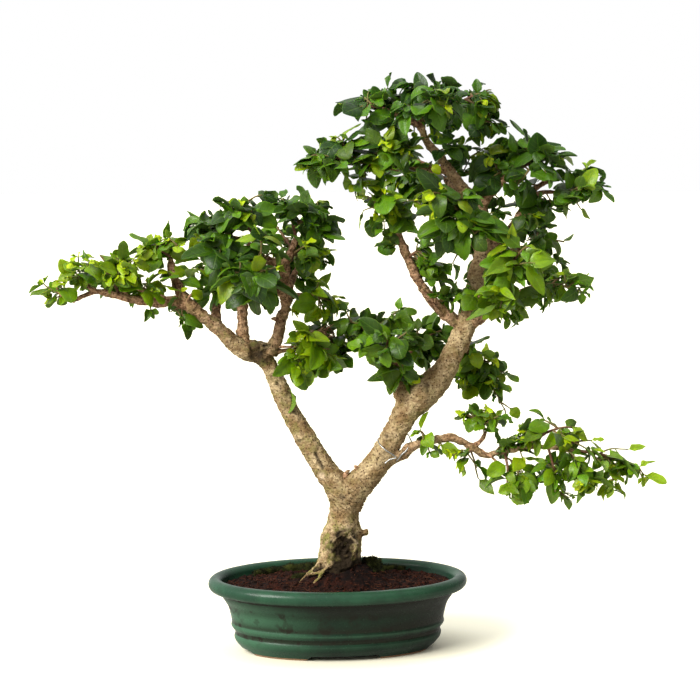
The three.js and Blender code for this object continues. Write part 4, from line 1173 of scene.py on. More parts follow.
stem_mesh.vertices.foreach_set("co", (turned(shaped) * MM).ravel())
for key, values in {"young": young, "mossy": mossy, "dark": dark, "pale": pale}.items():
    layer = stem_mesh.attributes.new(key, "FLOAT", "POINT")
    layer.data.foreach_set("value", np.clip(values, 0, 1).astype(np.float32))
stem_mesh.polygons.foreach_set("use_smooth", np.full(len(stem_mesh.polygons), True))
stem_mesh.update()
add_piece("stem_wood", stem_mesh, [bark], ["tree_wood"])
print("dark share of the stems:", round(float(np.clip(dark, 0, 1).mean()), 2))

# %% [markdown]
# Bare twigs stand between the leafy ones, and a bundle of dry ones hangs at the crown's middle.
# They are lists of points as the branches are, and chance spreads the bundle.

# %% Bare twigs and the dry bundle
TWIGS = {
    "far_stub": [(-207, -14, 356, 2), (-215, -18, 372, 1.6), (-219, -20, 384, 1.5), (-222, -22, 392, 1)],
    "far_fork": [(-218, -20, 384, 1.3), (-226, -24, 390, 1.0), (-231, -25, 396, 0.7)],
    "fine_rise": [(-236, -17, 360, 1.5), (-246, -22, 366, 1.0), (-252, -24, 376, 0.7)],
    "tip_curl": [
        (-256, -20, 350, 1.6), (-266, -22, 353, 1.3), (-272, -24, 362, 1.0), (-274, -24, 371, 0.7),
    ],
    "across": [(-58, 0, 303, 1.1), (-40, -6, 304, 0.9), (-18, -10, 303, 0.7), (-8, -12, 302, 0.5)],
    "upright_stub": [(-58, 2, 330, 1.8), (-63, 0, 331, 1.5), (-66, -1, 331, 1.1)],
    "main_stub": [(-150, -12, 345, 1.5), (-146, -14, 352, 1.2), (-143, -15, 357, 1.0)],
    "trunk_spur": [(96, -6, 344, 1.6), (88, -12, 350, 1.0), (84, -14, 356, 0.6)],
    "limb_spur": [(108, 0, 334, 1.6), (100, -8, 338, 1.2), (94, -12, 346, 0.8), (93, -13, 356, 0.6)],
    "crotch_bit": [(5, -2, 166, 4), (7, -4, 174, 3), (9, -5, 179, 2), (12, -5, 181, 0.9)],
    "crotch_bit_low": [(10, -2, 168, 3), (13, -4, 174, 1.6), (15, -5, 178, 0.8)],
    "stem_bit_left": [(24, -4, 178, 4), (20, -6, 182, 2.4), (16, -7, 186, 1)],
    "low_spur": [(140, -24, 203, 1.6), (150, -28, 198, 1.2), (158, -30, 190, 0.9)],
}
# The dry bundle runs between three places, and each twig strays from them
DRY_TWIGS = 18
DRY_PLACES = ((-34, 4, 314), (-22, -4, 314), (-8, -4, 320))
DRY_RADII = (0.6, 0.5, 0.35)
DRY_STRAY = 14

for k in range(DRY_TWIGS):
    TWIGS[f"dry_{k}"] = [
        (*(place_at + DRY_STRAY * shake(k, seed)), radius)
        for seed, (place_at, radius) in enumerate(zip(DRY_PLACES, DRY_RADII), 51)
    ]
print("bare twigs:", len(TWIGS))

# %% [markdown]
# Branches and twigs are tubes with knobbly radii: real ones are never round, they swell at every
# place where a leaf or a twig once stood. One mesh holds them all.

# %% Branches
BRANCH_FLARE = 0.45
FLARE_LENGTH = 9
LIMB_SIDES = 14
# The last three rings of a tube close it to a rounded end
END_TAPER = [0.9, 0.7, 0.35]


def flared(path):
    """A path with its foot widened: the radius grows by a share that fades along the flare's length."""
    widened = path.copy()
    widened[:, 3] *= 1 + BRANCH_FLARE * faded(lengths_along(path), FLARE_LENGTH, 1)
    return widened


limb_parts = []
limb_points = {name: points for name, points in BRANCHES.items() if name not in THICK} | TWIGS
for seed, (name, points) in enumerate(limb_points.items(), 60):
    path = flared(smooth_path(points, 1.1))
    path[-3:, 3] *= END_TAPER
    grid = tube_grid(path, LIMB_SIDES, lumps=0.2, seed=seed)
    knobs = 1 + 0.2 * rough(grid, 3.6, 2, seed + 40)[..., None]
    grid = path[:, None, :3] + (grid - path[:, None, :3]) * knobs
    # Thin wood is young and pink, and the low branch is older than it is thick
    age = 0.5 if name == "low_right" else 1
    young = age * (0.25 + 0.75 * smoothstep(8.5, 4.5, path[:, 3])[:, None])
    dark = 0.5 * smoothstep(0.25, 0.8, noise(grid, 3, seed))
    limb_parts.append(tube_part(turned(grid), young=young, mossy=0.25, pale=0.0, dark=dark))
limb_mesh = build_mesh("branch_wood", limb_parts)
add_piece("branch_wood", limb_mesh, [bark], ["tree_wood"])
print("branches:", len(limb_parts), "tubes,", len(limb_mesh.polygons), "faces")

# %% [markdown]
# A grower ties a branch with soft aluminium wire. It is bright, with duller, scuffed places.

# %% Finish: tie wire
silver, tree, shader, place = new_material("silver_wire")
scuffs = mottled(tree, place, 500.0, 0.4, 0.7)
scuffed = mixed(tree, scuffs["Mask"], colour(196, 196, 192), colour(140, 140, 138))
tree.links.new(scuffed, shader.inputs["Base Color"])
tree.links.new(banded(tree, scuffs["Height"], 0.3, 0.7, 0.25, 0.5), shader.inputs["Roughness"])
shader.inputs["Metallic"].default_value = 1
show_finish(silver)

# %% [markdown]
# The wire takes one turn round the right stem, and its ends hang down in front. It is one thin tube
# through places just outside the bark.

# %% Tie wire
WIRE_RADIUS = 0.7
WIRE_ROUTE = [
    (46, -19.5, 190), (51, -19, 194), (57, -20, 196), (51, -21.5, 201), (47.5, -21.3, 203),
    (44.5, -20, 205.5), (41.5, -17, 208), (39.5, -12, 211), (39.5, -5, 212), (42, 0, 213),
    (46.5, 3.5, 215.5), (52.5, 6, 217.5), (58.5, 6, 218), (65.5, 3.5, 217), (69.5, -0.5, 215.5),
    (71, -6, 213), (72.5, -12, 210),
    (70.5, -15.5, 210), (68.5, -20, 205.5), (66, -20.5, 202), (62.5, -20, 199), (59.5, -18, 194.5),
    (57.5, -16.5, 192),
]
wire_path = smooth_path([(*point, WIRE_RADIUS) for point in WIRE_ROUTE], 0.8)
wire_mesh = build_mesh("silver_tie", [tube_part(turned(tube_grid(wire_path, 12)))])
add_piece("silver_tie", wire_mesh, [silver], ["tie_wire"])
print("wire:", round(float(lengths_along(wire_path)[-1])), "mm long")

# %% [markdown]
# A privet leaf is leathery: glossy and dark on top with a sunken midrib, faint side veins and a
# thin pale margin; duller and paler beneath. Young leaves are lime green. Each point of a leaf
# knows how far along and across the blade it lies, so the veins follow the leaf's own shape.

# %% Shared effect: leaf veins
veins, given, made = new_group(
    "leaf_veins",
    {"Along": 0.0, "Across": 0.0, "Pairs": 6.0, "Slant": 1.6},
    ["Midrib", "Side Veins", "Margin"],
)
from_rib = maths(veins, "ABSOLUTE", given["Across"])
midrib = banded(veins, from_rib, 0.1, 0.02)
phase = maths(veins, "SUBTRACT", maths(veins, "MULTIPLY", given["Along"], given["Pairs"]),
              maths(veins, "MULTIPLY", from_rib, given["Slant"]))
from_vein = maths(veins, "ABSOLUTE", maths(veins, "SUBTRACT", maths(veins, "FRACT", phase), 0.5))
side_veins = maths(veins, "MULTIPLY", banded(veins, from_vein, 0.1, 0.02), banded(veins, from_rib, 1.0, 0.7))
veins.links.new(midrib, made["Midrib"])
veins.links.new(side_veins, made["Side Veins"])
veins.links.new(banded(veins, from_rib, 0.88, 0.97), made["Margin"])
print("leaf veins:", len(veins.nodes), "nodes")

# %% [markdown]
# Both faces of a leaf are made by one function, with their own colours and gloss. A little light
# passes through the blade, so leaves glow softly where the lamp is behind them.

# %% Finishes: the two faces of a leaf
# How much light passes into a blade, and how far in metres. Green goes furthest
LEAF_GLOW = 0.35
LEAF_GLOW_REACH = 0.0015


def leaf_finish(name, dark, middle, lime, vein, gloss):
    """A leaf face: dark to middle green by its tint, then lime by its youth, with veins and margin."""
    material, tree, shader, place = new_material(name)
    lines = use_group(tree, veins, {"Along": attribute(tree, "along"), "Across": attribute(tree, "across")})
    uneven = mottled(tree, place, 150.0, 0.35, 0.65)
    base = mixed(tree, attribute(tree, "tint"), dark, middle)
    base = mixed(tree, attribute(tree, "youth"), base, lime)
    base = washed(tree, base, uneven["Mask"], 0.3, dark)
    base = washed(tree, base, lines["Side Veins"], 0.16, vein)
    base = washed(tree, base, lines["Midrib"], 0.22, vein)
    base = washed(tree, base, lines["Margin"], 0.15, vein)
    tree.links.new(base, shader.inputs["Base Color"])
    tree.links.new(banded(tree, uneven["Height"], 0.3, 0.7, gloss, gloss + 0.14), shader.inputs["Roughness"])
    sunk = maths(tree, "ADD", lines["Midrib"], maths(tree, "MULTIPLY", lines["Side Veins"], 0.45))
    height = maths(tree, "SUBTRACT", maths(tree, "MULTIPLY", uneven["Height"], 0.8), sunk)
    bumped(tree, shader, 0.4, 0.0005, height)
    shader.inputs["Specular IOR Level"].default_value = 0.3
    shader.inputs["Subsurface Weight"].default_value = LEAF_GLOW
    shader.inputs["Subsurface Radius"].default_value = (0.5, 1, 0.08)
    shader.inputs["Subsurface Scale"].default_value = LEAF_GLOW_REACH
    return material


leaf_top = leaf_finish(
    "leaf_top", colour(29, 60, 5), colour(88, 134, 2), colour(184, 206, 8), colour(112, 146, 48), 0.34,
)
leaf_under = leaf_finish(
    "leaf_under", colour(66, 96, 36), colour(96, 130, 40), colour(150, 178, 44), colour(146, 168, 82), 0.6,
)
for face in (leaf_top, leaf_under):
    show_finish(face)

# %% [markdown]
# Shoots are green while they are young and turn brown from their foot, with fine dark rings.

# %% Finish: green and brown shoots
shoot_bark, tree, shader, place = new_material("shoot_bark")
rings = mottled(tree, place, 500.0, 0.4, 0.6)
base = mixed(tree, attribute(tree, "youth"), colour(122, 82, 58), colour(112, 132, 48))
base = washed(tree, base, rings["Mask"], 0.45, colour(84, 56, 38))
tree.links.new(base, shader.inputs["Base Color"])
bumped(tree, shader, 0.5, 0.0003, rings["Height"])
shader.inputs["Roughness"].default_value = 0.7
show_finish(shoot_bark)

# %% [markdown]
# A leaf is one closed blade, thin but solid. Its middle line is an arc that droops, its halves are
# folded up from the midrib and roll down again at the edge, and the edge is waved. All leaves of a
# spray are worked out in one go, as an array of leaf, station along the leaf, and corner across it.

# %% The leaf's form
STATIONS = np.array([0, 0.1, 0.16, 0.28, 0.42, 0.57, 0.72, 0.86, 0.95, 1])
BLUNT_WIDTHS = np.array([0, 0.08, 0.44, 0.87, 1, 1, 0.88, 0.63, 0.38, 0.08])
POINTED_WIDTHS = np.array([0, 0.08, 0.5, 0.92, 1, 0.89, 0.66, 0.36, 0.15, 0.03])
CORNERS = np.array([-1, -0.52, 0, 0.52, 1, 0])
LEAF_THICKNESS = 0.34
STALK_RADIUS = 0.5


def leaf_grids(leaf):
    """Blades as arrays: arc droop (sin kt / k, (cos kt - 1) / k), V fold, rolled and waved edges.

    leaf holds one array for each of root, line, normal, length, width, pointed, droop, fold,
    wave, twist and phase.
    """
    t = STATIONS[None, :]
    length, width, pointed, droop, fold, wave, twist, phase = (
        leaf[key][:, None]
        for key in ("length", "width", "pointed", "droop", "fold", "wave", "twist", "phase")
    )
    bend = np.where(np.abs(droop) < 0.01, 0.01, droop)
    forward = length * np.sin(bend * t) / bend
    sunk = length * (np.cos(bend * t) - 1) / bend
    tilt = bend * t
    shape = BLUNT_WIDTHS + (POINTED_WIDTHS - BLUNT_WIDTHS) * pointed
    half = 0.5 * width * shape
    side = CORNERS[None, None, :]
    spread = np.abs(side)
    flat = half[..., None] * side * np.cos(fold)[..., None]
    raised = half[..., None] * (spread * np.sin(fold)[..., None] - 0.3 * spread**3)
    ripple = np.sin(9.5 * t[..., None] + phase[..., None] + 1.9 * np.sign(side)) * spread**2
    raised = raised + (wave * shape)[..., None] * ripple
    plump = 0.035 * half[..., None] * np.sin(np.pi * spread) * (side != 0)
    under = np.array([0, 0, 0, 0, 0, 1])
    blade_like = smoothstep(0.09, 0.2, STATIONS)[None, :, None]
    raised = raised + plump - under * LEAF_THICKNESS
    turn = np.array([np.pi, 0.75 * np.pi, 0.5 * np.pi, 0.25 * np.pi, 0, -0.5 * np.pi])
    flat = blade_like * flat + (1 - blade_like) * STALK_RADIUS * np.cos(turn)
    raised = blade_like * raised + (1 - blade_like) * STALK_RADIUS * np.sin(turn)
    roll = (twist * t)[..., None]
    flat, raised = flat * np.cos(roll) - raised * np.sin(roll), flat * np.sin(roll) + raised * np.cos(roll)
    ahead = forward[..., None] + raised * np.sin(tilt)[..., None]
    above = sunk[..., None] + raised * np.cos(tilt)[..., None]
    line = leaf["line"]
    normal = unit(leaf["normal"] - line * np.sum(leaf["normal"] * line, axis=-1, keepdims=True))
    aside = np.cross(line, normal)
    axes = [vectors[:, None, None] for vectors in (line, aside, normal)]
    grid = leaf["root"][:, None, None]
    for share, axis in zip((ahead, flat, above), axes):
        grid = grid + share[..., None] * axis
    return grid


def leaf_part(leaf):
    """The part of all leaves: the lower faces take the second material, and the margins carry values for
    crisp edges.
    """
    grid = leaf_grids(leaf)
    part = tube_part(
        grid, along=STATIONS[None, :, None], across=CORNERS[None, None, :],
        tint=leaf["tint"][:, None, None], youth=leaf["youth"][:, None, None],
        edge=np.array([1, 0, 0, 0, 2, 0])[None, None, :],
    )
    lower = np.tile(np.array([0, 0, 0, 0, 1, 1]), len(part["quads"]) // 6)
    part["material"] = np.concatenate([lower, np.ones(len(part["caps"]), int)])
    return part


print("a leaf has", len(STATIONS), "stations of", len(CORNERS), "corners")

# %% [markdown]
# Each spray grows from a point on a branch towards a few tips. Those tips are the ones that the
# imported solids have, and a handful of further shoots fills the space between them. Leaves stand in
# opposite pairs, each pair turned a quarter from the one before, and twist to face the light.

# %% The sprays' own list
# Branch, the share of its length where the spray starts, and the tips that it reaches
SPRAYS = {
    "left_tip": ("left_main", 1, [(-292, -22, 368), (-289, -12, 350), (-270, -34, 379)]),
    "left_far": ("left_main", 0.9, [(-268, -8, 389), (-245, -34, 399)]),
    "left_low": ("left_main", 0.77, [(-235, 12, 394), (-228, 38, 374)]),
    "left_between": ("left_main", 0.6, [(-181, -44, 371), (-208, 14, 370)]),
    "left_hanging": ("left_main", 0.45, [(-166, -12, 337), (-154, -14, 330)]),
    "left_twig": ("left_twig", 1, [(-238, -44, 384), (-221, -20, 400), (-201, -48, 390)]),
    "left_rise": ("left_rise", 1, [(-203, -4, 409), (-170, 8, 420), (-141, -24, 406), (-197, 26, 383)]),
    "left_back": ("left_back", 1, [(-149, 84, 401), (-102, 80, 392), (-172, 66, 374), (-89, 60, 361)]),
    "middle_top": ("middle_upright", 1, [(-145, 2, 435), (-115, 28, 445), (-130, -14, 398)]),
    "middle_side": ("middle_upright", 0.62, [(-130, 30, 359), (-76, 30, 347)]),
    "crown_left": ("right_upright", 1, [(-120, -20, 444), (-77, -28, 451), (-100, 6, 450)]),
    "crown_twig": ("crown_twig", 1, [(-148, -20, 410), (-113, -44, 388)]),
    "crown_hanging": ("right_upright", 0.76, [(-95, -36, 347), (-72, -56, 423)]),
    "fork_top": ("upright_fork", 1, [(-53, 4, 457), (-6, 14, 441), (-8, 28, 420), (-27, -20, 452)]),
    "fork_side": ("upright_fork", 0.45, [(-16, 18, 384), (-25, -28, 410)]),
    "front_left": ("front_left", 1, [(-109, -82, 385), (-71, -84, 411), (-44, -66, 391), (-63, -46, 351)]),
    "back_middle": ("back_middle", 1, [(-71, 84, 430), (-16, 80, 416), (-4, 62, 381), (-41, 70, 352)]),
    "upright_twig": ("upright_twig", 1, [(2, 12, 348), (-16, -4, 324)]),
    "knot_right": ("knot_right", 1, [(8, -18, 292), (-12, 15, 278), (-36, -18, 327)]),
    "knot_hanging": ("knot_right", 0.8, [(-36, 2, 262), (-32, -6, 282)]),
    "pad_end": ("pad_branch", 1, [(-46, 32, 315), (-20, 48, 333), (12, 40, 269)]),
    "pad_middle": ("pad_branch", 0.62, [(14, 2, 337), (38, 34, 329)]),
    "pad_back": ("pad_back", 1, [(116, 66, 321), (84, 80, 326), (104, 70, 290)]),
    "pad_front": ("pad_front", 1, [(38, -70, 334), (11, -56, 311), (81, -50, 334), (44, -38, 282)]),
    "trunk_back": ("trunk_back", 1, [(172, 54, 266), (164, 50, 238), (146, 40, 298), (126, 44, 256)]),
    "low_tip": ("low_right", 1, [(298, -32, 190), (280, -48, 169), (288, -16, 176)]),
    "low_outer": ("low_right", 0.88, [(260, -8, 214), (250, -50, 167)]),
    "low_middle": ("low_right", 0.86, [(220, -24, 146), (221, 4, 172)]),
    "low_inner": ("low_right", 0.64, [(165, -50, 157), (199, -12, 170)]),
    "low_first": ("low_right", 0.46, [(113, -32, 182), (142, -14, 159)]),
    "low_single": ("low_right", 0.22, [(74, -28, 233), (92, -30, 193)]),
    "low_up": ("low_right_up", 1, [(112, -20, 249), (169, -38, 248)]),
    "low_fork": ("low_right_fork", 1, [(246, -10, 228), (224, -44, 214), (194, -12, 238)]),
    "top_left": ("top_left", 1, [(-6, -26, 533), (19, -14, 554), (27, -40, 518)]),
    "top_leader": ("right_trunk", 1, [(110, -14, 560), (78, -4, 564), (58, -24, 558)]),
    "top_right": ("top_right", 1, [(158, 8, 556), (151, -14, 523), (134, 26, 557)]),
    "top_back": ("top_back", 1, [(83, 70, 558), (145, 62, 536), (111, 44, 553)]),
    "top_front": ("top_front", 1, [(58, -82, 534), (107, -78, 544), (87, -66, 514)]),
    "left_upper": ("left_upper", 1, [(-36, -38, 476), (-19, -22, 510), (2, -48, 468)]),
    "left_upper_side": ("left_upper", 0.5, [(33, -8, 520), (61, -46, 506)]),
    "left_branch": ("left_branch", 1, [(16, -8, 456), (44, -50, 470), (33, -16, 409)]),
    "left_branch_side": ("left_branch", 0.62, [(94, -36, 405), (99, -24, 365)]),
    "centre_back": ("centre_back", 1, [(55, 112, 497), (95, 100, 438), (63, 66, 459)]),
    "centre_front": ("centre_front", 1, [(80, -96, 464), (125, -93, 470), (102, -66, 403), (140, -74, 405)]),
    "right_rise": ("right_rise", 1, [(225, -8, 496), (204, 18, 508), (172, 24, 512), (163, -34, 453)]),
    "right_arm": ("right_arm", 1, [(273, 30, 452), (255, 44, 486), (222, 46, 434)]),
    "right_arm_twig": ("right_arm_twig", 1, [(235, -16, 438), (255, -8, 463)]),
    "right_limb": ("right_limb", 1, [(240, -36, 364), (228, -8, 380), (196, -14, 356), (170, -44, 350)]),
    "right_front": ("right_front", 1, [(186, -92, 418), (200, -82, 396), (150, -70, 331), (157, -72, 416)]),
    "right_back": ("right_back", 1, [(244, 92, 404), (214, 94, 426), (206, 78, 353)]),
    "low_back": ("low_back", 1, [(116, 126, 419), (176, 131, 417), (187, 95, 352), (110, 70, 368)]),
}
print("sprays:", len(SPRAYS), "with", sum(len(tips) for _, _, tips in SPRAYS.values()), "tips")

# %% [markdown]
# Privet leaves change with age and light: large and bluish green at the top, small and lime at the
# young ends, narrow and pointed low on the right. So each family of sprays has its own look.

# %% How a spray looks
# By the start of a spray's name: how young it is, from 0 for old and bluish to 1 for lime, the size
# of its leaves, and how many filling shoots it has
LOOKS = {
    "left_tip": (0.6, 0.74, 0), "left_far": (0.65, 0.7, 4), "left_low": (0.6, 0.7, 4),
    "left_hanging": (0.3, 1.0, 1), "left_twig": (0.75, 0.74, 6), "left_upper": (0.2, 0.9, 6),
    "left_branch": (0.25, 0.85, 7), "left": (0.6, 0.82, 6), "low_single": (0.5, 0.74, 0),
    "low_first": (0.5, 0.9, 1), "low_tip": (0.55, 0.92, 4), "low_back": (0.2, 0.85, 7),
    "low_outer": (0.5, 0.92, 4), "low_up": (0.3, 0.85, 3), "low": (0.5, 0.92, 4),
    "right_front": (0.5, 1.05, 8), "right_limb": (0.4, 0.9, 7), "right_arm": (0.1, 0.92, 7),
    "right_rise": (0.02, 0.94, 8), "right": (0.2, 0.9, 7), "knot_hanging": (0.85, 0.98, 1),
    "knot": (0.75, 1.12, 4), "upright": (0.75, 0.85, 5), "top": (0.0, 0.95, 6),
    "fork_top": (0.02, 1.0, 7), "crown": (0.06, 1.05, 6), "middle_top": (0.1, 0.95, 6),
    "back_middle": (0.2, 0.95, 6), "front_left": (0.1, 1.05, 6), "centre": (0.12, 0.96, 8),
    "": (0.22, 0.9, 7),
}
# Sprays whose leaves are narrow and pointed
SLENDER = ("right_front", "right_limb", "low_tip", "low_outer", "low_middle", "low_first", "low_fork")
print("looks:", len(LOOKS), "and", len(SLENDER), "sprays with narrow leaves")

# %% [markdown]
# Where the crown is full, a spray's few tips are not enough. These further ones stand where the
# photograph shows leaves, and each grows on a shoot of its own from the wood nearest to it.

# %% Further tips in full places
MORE_TIPS = {
    "right_rise": [
        (162, 12, 446), (150, 6, 484), (146, -8, 468), (161, -6, 438), (160, 4, 508), (142, 0, 470),
        (176, 0, 450), (168, -16, 456), (140, -12, 500), (150, -4, 498), (178, 20, 462), (164, 24, 484),
        (160, -20, 462),
    ],
    "left_upper": [
        (22, -22, 470), (4, -20, 510), (28, -32, 462), (17, -32, 512), (40, -44, 492), (18, -50, 484),
        (60, -46, 482), (84, -40, 470), (-28, -30, 497), (-34, -34, 478), (10, -30, 458), (30, -36, 474),
        (-36, -30, 484), (20, -34, 486), (44, -40, 504),
    ],
    "left_upper_side": [(50, -30, 468), (76, -14, 508), (72, -44, 494), (94, -34, 488), (50, -10, 506)],
    "left_branch": [
        (70, -30, 448), (60, -8, 456), (84, -28, 452), (52, -40, 436), (44, -24, 420), (78, -14, 432),
        (86, -34, 440),
    ],
    "left_branch_side": [
        (80, -30, 416), (72, -22, 432), (46, -30, 404), (112, -10, 358), (113, -12, 352), (100, -20, 376),
        (88, -30, 384), (104, -14, 388), (120, -18, 372), (92, -20, 362), (108, -20, 362), (120, -20, 362),
    ],
    "centre_back": [(138, 30, 504), (112, 38, 508), (158, 34, 506), (140, 26, 476), (88, 44, 478)],
    "trunk_back": [
        (120, 30, 274), (175, 42, 270), (138, 20, 305), (122, 24, 264), (126, 22, 290), (172, 40, 266),
        (176, 40, 222), (168, 30, 222), (130, 30, 282), (134, 16, 290), (180, 44, 232),
    ],
    "pad_middle": [(60, 12, 338), (2, 10, 330), (68, 18, 344), (4, 16, 344), (72, 10, 336)],
    "pad_front": [(54, -30, 277), (74, -20, 282), (74, -30, 286), (66, -40, 290)],
    "fork_top": [(-62, 12, 455), (-20, 20, 456), (-56, 0, 452)],
    "right_front": [(114, -26, 354)],
    "low_fork": [(184, -20, 222), (180, -36, 214), (176, -30, 228)],
    "low_up": [
        (166, -22, 216), (140, -34, 240), (174, -28, 226), (150, -30, 242), (160, -30, 220),
        (176, -30, 224), (124, -26, 250), (152, -30, 250),
    ],
    "low_first": [
        (110, -38, 204), (108, -30, 200), (112, -36, 206), (104, -30, 196), (98, -34, 206), (108, -32, 201),
    ],
    "low_inner": [(170, -34, 160)],
    "low_middle": [
        (182, -34, 192), (204, -30, 186), (236, -20, 156), (234, -30, 154), (230, -24, 150),
        (198, -34, 198),
    ],
    "low_tip": [
        (266, -32, 168), (304, -30, 184), (268, -28, 190), (266, -36, 165), (268, -30, 160),
        (262, -34, 166), (300, -30, 170), (304, -26, 174),
    ],
    "left_between": [(-150, -18, 368), (-172, -12, 386), (-138, -14, 358)],
    "upright_twig": [(-14, 12, 367), (-40, 14, 344), (-42, 10, 334), (0, 6, 346)],
    "right_arm_twig": [(196, -6, 447), (190, -14, 430), (178, -20, 438), (184, 2, 424), (196, -10, 436)],
    "right_arm": [
        (264, 18, 455), (230, 8, 482), (212, 10, 442), (206, 0, 436), (196, 20, 430), (268, 26, 460),
    ],
    "right_limb": [(218, -22, 384), (246, -30, 378), (176, -20, 326), (168, -20, 338), (182, -24, 340)],
    "top_left": [
        (46, -22, 554), (52, -34, 520), (0, -24, 512), (54, -24, 562), (44, -10, 560), (-6, -26, 516),
    ],
    "top_right": [
        (160, 6, 514), (132, -8, 520), (146, 14, 538), (158, 10, 558), (136, -6, 506), (162, 0, 516),
    ],
    "top_back": [(118, 40, 520), (100, 50, 530)],
    "top_leader": [
        (112, -14, 568), (104, -30, 520), (62, -20, 548), (60, -16, 560), (114, -10, 567), (112, -20, 504),
        (96, -26, 500), (124, -14, 500), (104, -16, 536), (92, -26, 516), (118, -18, 512),
    ],
    "crown_left": [(-80, 10, 452), (-62, -8, 457), (-92, -20, 452)],
    "knot_hanging": [(-40, -4, 263)],
    "centre_front": [
        (128, -60, 448), (108, -70, 432), (90, -80, 440), (150, -60, 430), (92, -50, 420), (84, -60, 428),
        (112, -40, 416), (70, -50, 410), (96, -44, 450),
    ],
    "crown_hanging": [(-112, -30, 420), (-120, -40, 402), (-100, -40, 398)],
    "front_left": [(-60, -60, 372), (-92, -60, 400), (-84, -70, 372), (-74, -70, 428), (-64, -60, 424)],
    "low_single": [(84, -34, 210)],
    "left_far": [(-252, -16, 384), (-232, -26, 388)],
    "left_twig": [(-214, -34, 378), (-190, -30, 396), (-216, -24, 402)],
    "left_hanging": [
        (-164, -4, 340), (-156, -16, 322), (-146, -14, 322), (-150, -20, 330), (-180, -18, 336),
    ],
    "knot_right": [(-14, -20, 302), (-30, -6, 286), (-52, -6, 300)],
    "right_back": [(240, 60, 384), (220, 60, 412), (196, 40, 444), (186, 30, 440)],
    "fork_side": [(-16, -4, 378)],
    "left_tip": [(-294, -18, 373)],
    "left_rise": [(-186, -6, 410), (-170, -10, 416)],
    "middle_side": [(-150, 6, 366)],
    "low_outer": [(256, -30, 172), (272, -36, 176), (258, -16, 213)],
}
print("further tips:", sum(len(tips) for tips in MORE_TIPS.values()))

# %% [markdown]
# A shoot is a thin tube on a curve that rises on its way and wanders a little. A spray's first
# shoot reaches its first tip, side shoots leave it for the others, and the last ones end at places
# that are drawn by chance between two tips.

# %% Shoots
# The largest length of the leaf that stands beyond a shoot's end, and its share of a short reach
END_LEAF_ROOM = (17, 0.45)
# The least cost of a shoot, which is its reach and a share of how far it would hang down
LEAST_SHOOT = 20
# Radii at the foot and at the end
SHOOT_RADII = {"first": (1.7, 0.9), "side": (1.15, 0.75), "further": (1.0, 0.65), "filling": (0.95, 0.6)}
LIMB_POINTS = np.concatenate([
    smooth_path(points, 5)[:, :3] for name, points in BRANCHES.items() if name != "trunk"
])


def branch_point(name, share):
    """The point at a share of a branch's length."""
    path = smooth_path(BRANCHES[name], 1)
    along = lengths_along(path)
    return read_along(along, path, share * along[-1])


def shoot_path(start, tip, radii, seed, arch=0.12):
    """A quadratic curve that rises on its way, as [x, y, z, radius], wandering a little by noise."""
    reach = np.linalg.norm(tip - start)
    steps = max(int(reach / 2.5), 5)
    t = np.linspace(0, 1, steps)[:, None]
    middle = (start + tip) / 2 + [0, 0, arch * reach] + 0.1 * reach * shake(seed, 71)
    curve = (1 - t) ** 2 * start + 2 * t * (1 - t) * middle + t**2 * tip
    wander = np.stack([noise(curve + 40 * axis, 12, seed % 97) for axis in range(3)], axis=-1)
    curve = curve + 1.2 * np.sin(np.pi * t) * wander
    return np.column_stack([curve, np.linspace(*radii, steps)])


def shoot_end(start, tip):
    """The end of a shoot that leaves room for its last leaf before the tip."""
    reach = np.linalg.norm(tip - start)
    return tip - (tip - start) / reach * min(END_LEAF_ROOM[0], END_LEAF_ROOM[1] * reach)


def spray_shoots(number, branch, share, tips, more_tips, filling):
    """All shoots of a spray: one to the first tip, side shoots to the other tips, shoots from the
    nearest wood to the further tips, and filling ones.
    """
    start = branch_point(branch, share)
    tips = np.array(tips, float)
    main = shoot_path(start, shoot_end(start, tips[0]), SHOOT_RADII["first"], 100 * number)
    shoots = [main]
    for k, tip in enumerate(tips[1:]):
        foot = main[int((0.3 + 0.2 * (k % 3)) * (len(main) - 1)), :3]
        shoots.append(shoot_path(foot, shoot_end(foot, tip), SHOOT_RADII["side"], 100 * number + k + 1))
    for k, tip in enumerate(np.array(more_tips, float)):
        wood = np.concatenate([LIMB_POINTS] + [shoot[2:, :3] for shoot in shoots])
        cost = np.linalg.norm(wood - tip, axis=1) + 0.4 * np.maximum(wood[:, 2] - tip[2], 0)
        foot = wood[np.argmin(np.where(cost > LEAST_SHOOT, cost, np.inf))]
        shoots.append(shoot_path(foot, shoot_end(foot, tip), SHOOT_RADII["further"], 100 * number + 50 + k))
    spread = np.linalg.norm(tips - start, axis=1).mean()
    for k in range(filling):
        seed = 100 * number + 10 + k
        one, two = (int(chance(seed, axis, 72) * len(tips)) for axis in (1, 2))
        blend = 0.25 + 0.5 * chance(seed, 3, 72)
        between = tips[one] * blend + tips[two] * (1 - blend)
        tip = start + (0.5 + 0.3 * chance(seed, 4, 72)) * (between - start)
        tip = tip + shake(seed, 73) * [0.45, 0.7, 0.25] * spread
        host = shoots[int(chance(seed, 5, 72) * len(tips))]
        foot = host[int((0.15 + 0.6 * chance(seed, 6, 72)) * (len(host) - 1)), :3]
        shoots.append(shoot_path(foot, tip, SHOOT_RADII["filling"], seed))
    return shoots


first_shoots = spray_shoots(1, *SPRAYS["left_tip"], [], 0)
print("shoots may sprout at", len(LIMB_POINTS), "places,", len(first_shoots), "in the first spray")

# %% [markdown]
# Leaves stand in pairs along a shoot. They turn their upper faces to the light and away from the
# middle of their part of the crown, each a little differently, and the last pairs are still small.

# %% Leaves on a shoot
LIGHT = unit(np.array([0.1, -0.4, 1.0]))
CROWN_MIDDLES = np.array([(-130, 0, 360), (80, 0, 440), (190, -25, 190)])
PAIR_SPACING = 7
# The bare foot of a shoot: a share of its length, and the most that it can be
BARE_FOOT = (0.35, 14)
# The shortest and the longest leaf of a spray whose size is 1
LEAF_SIZES = (15, 38)
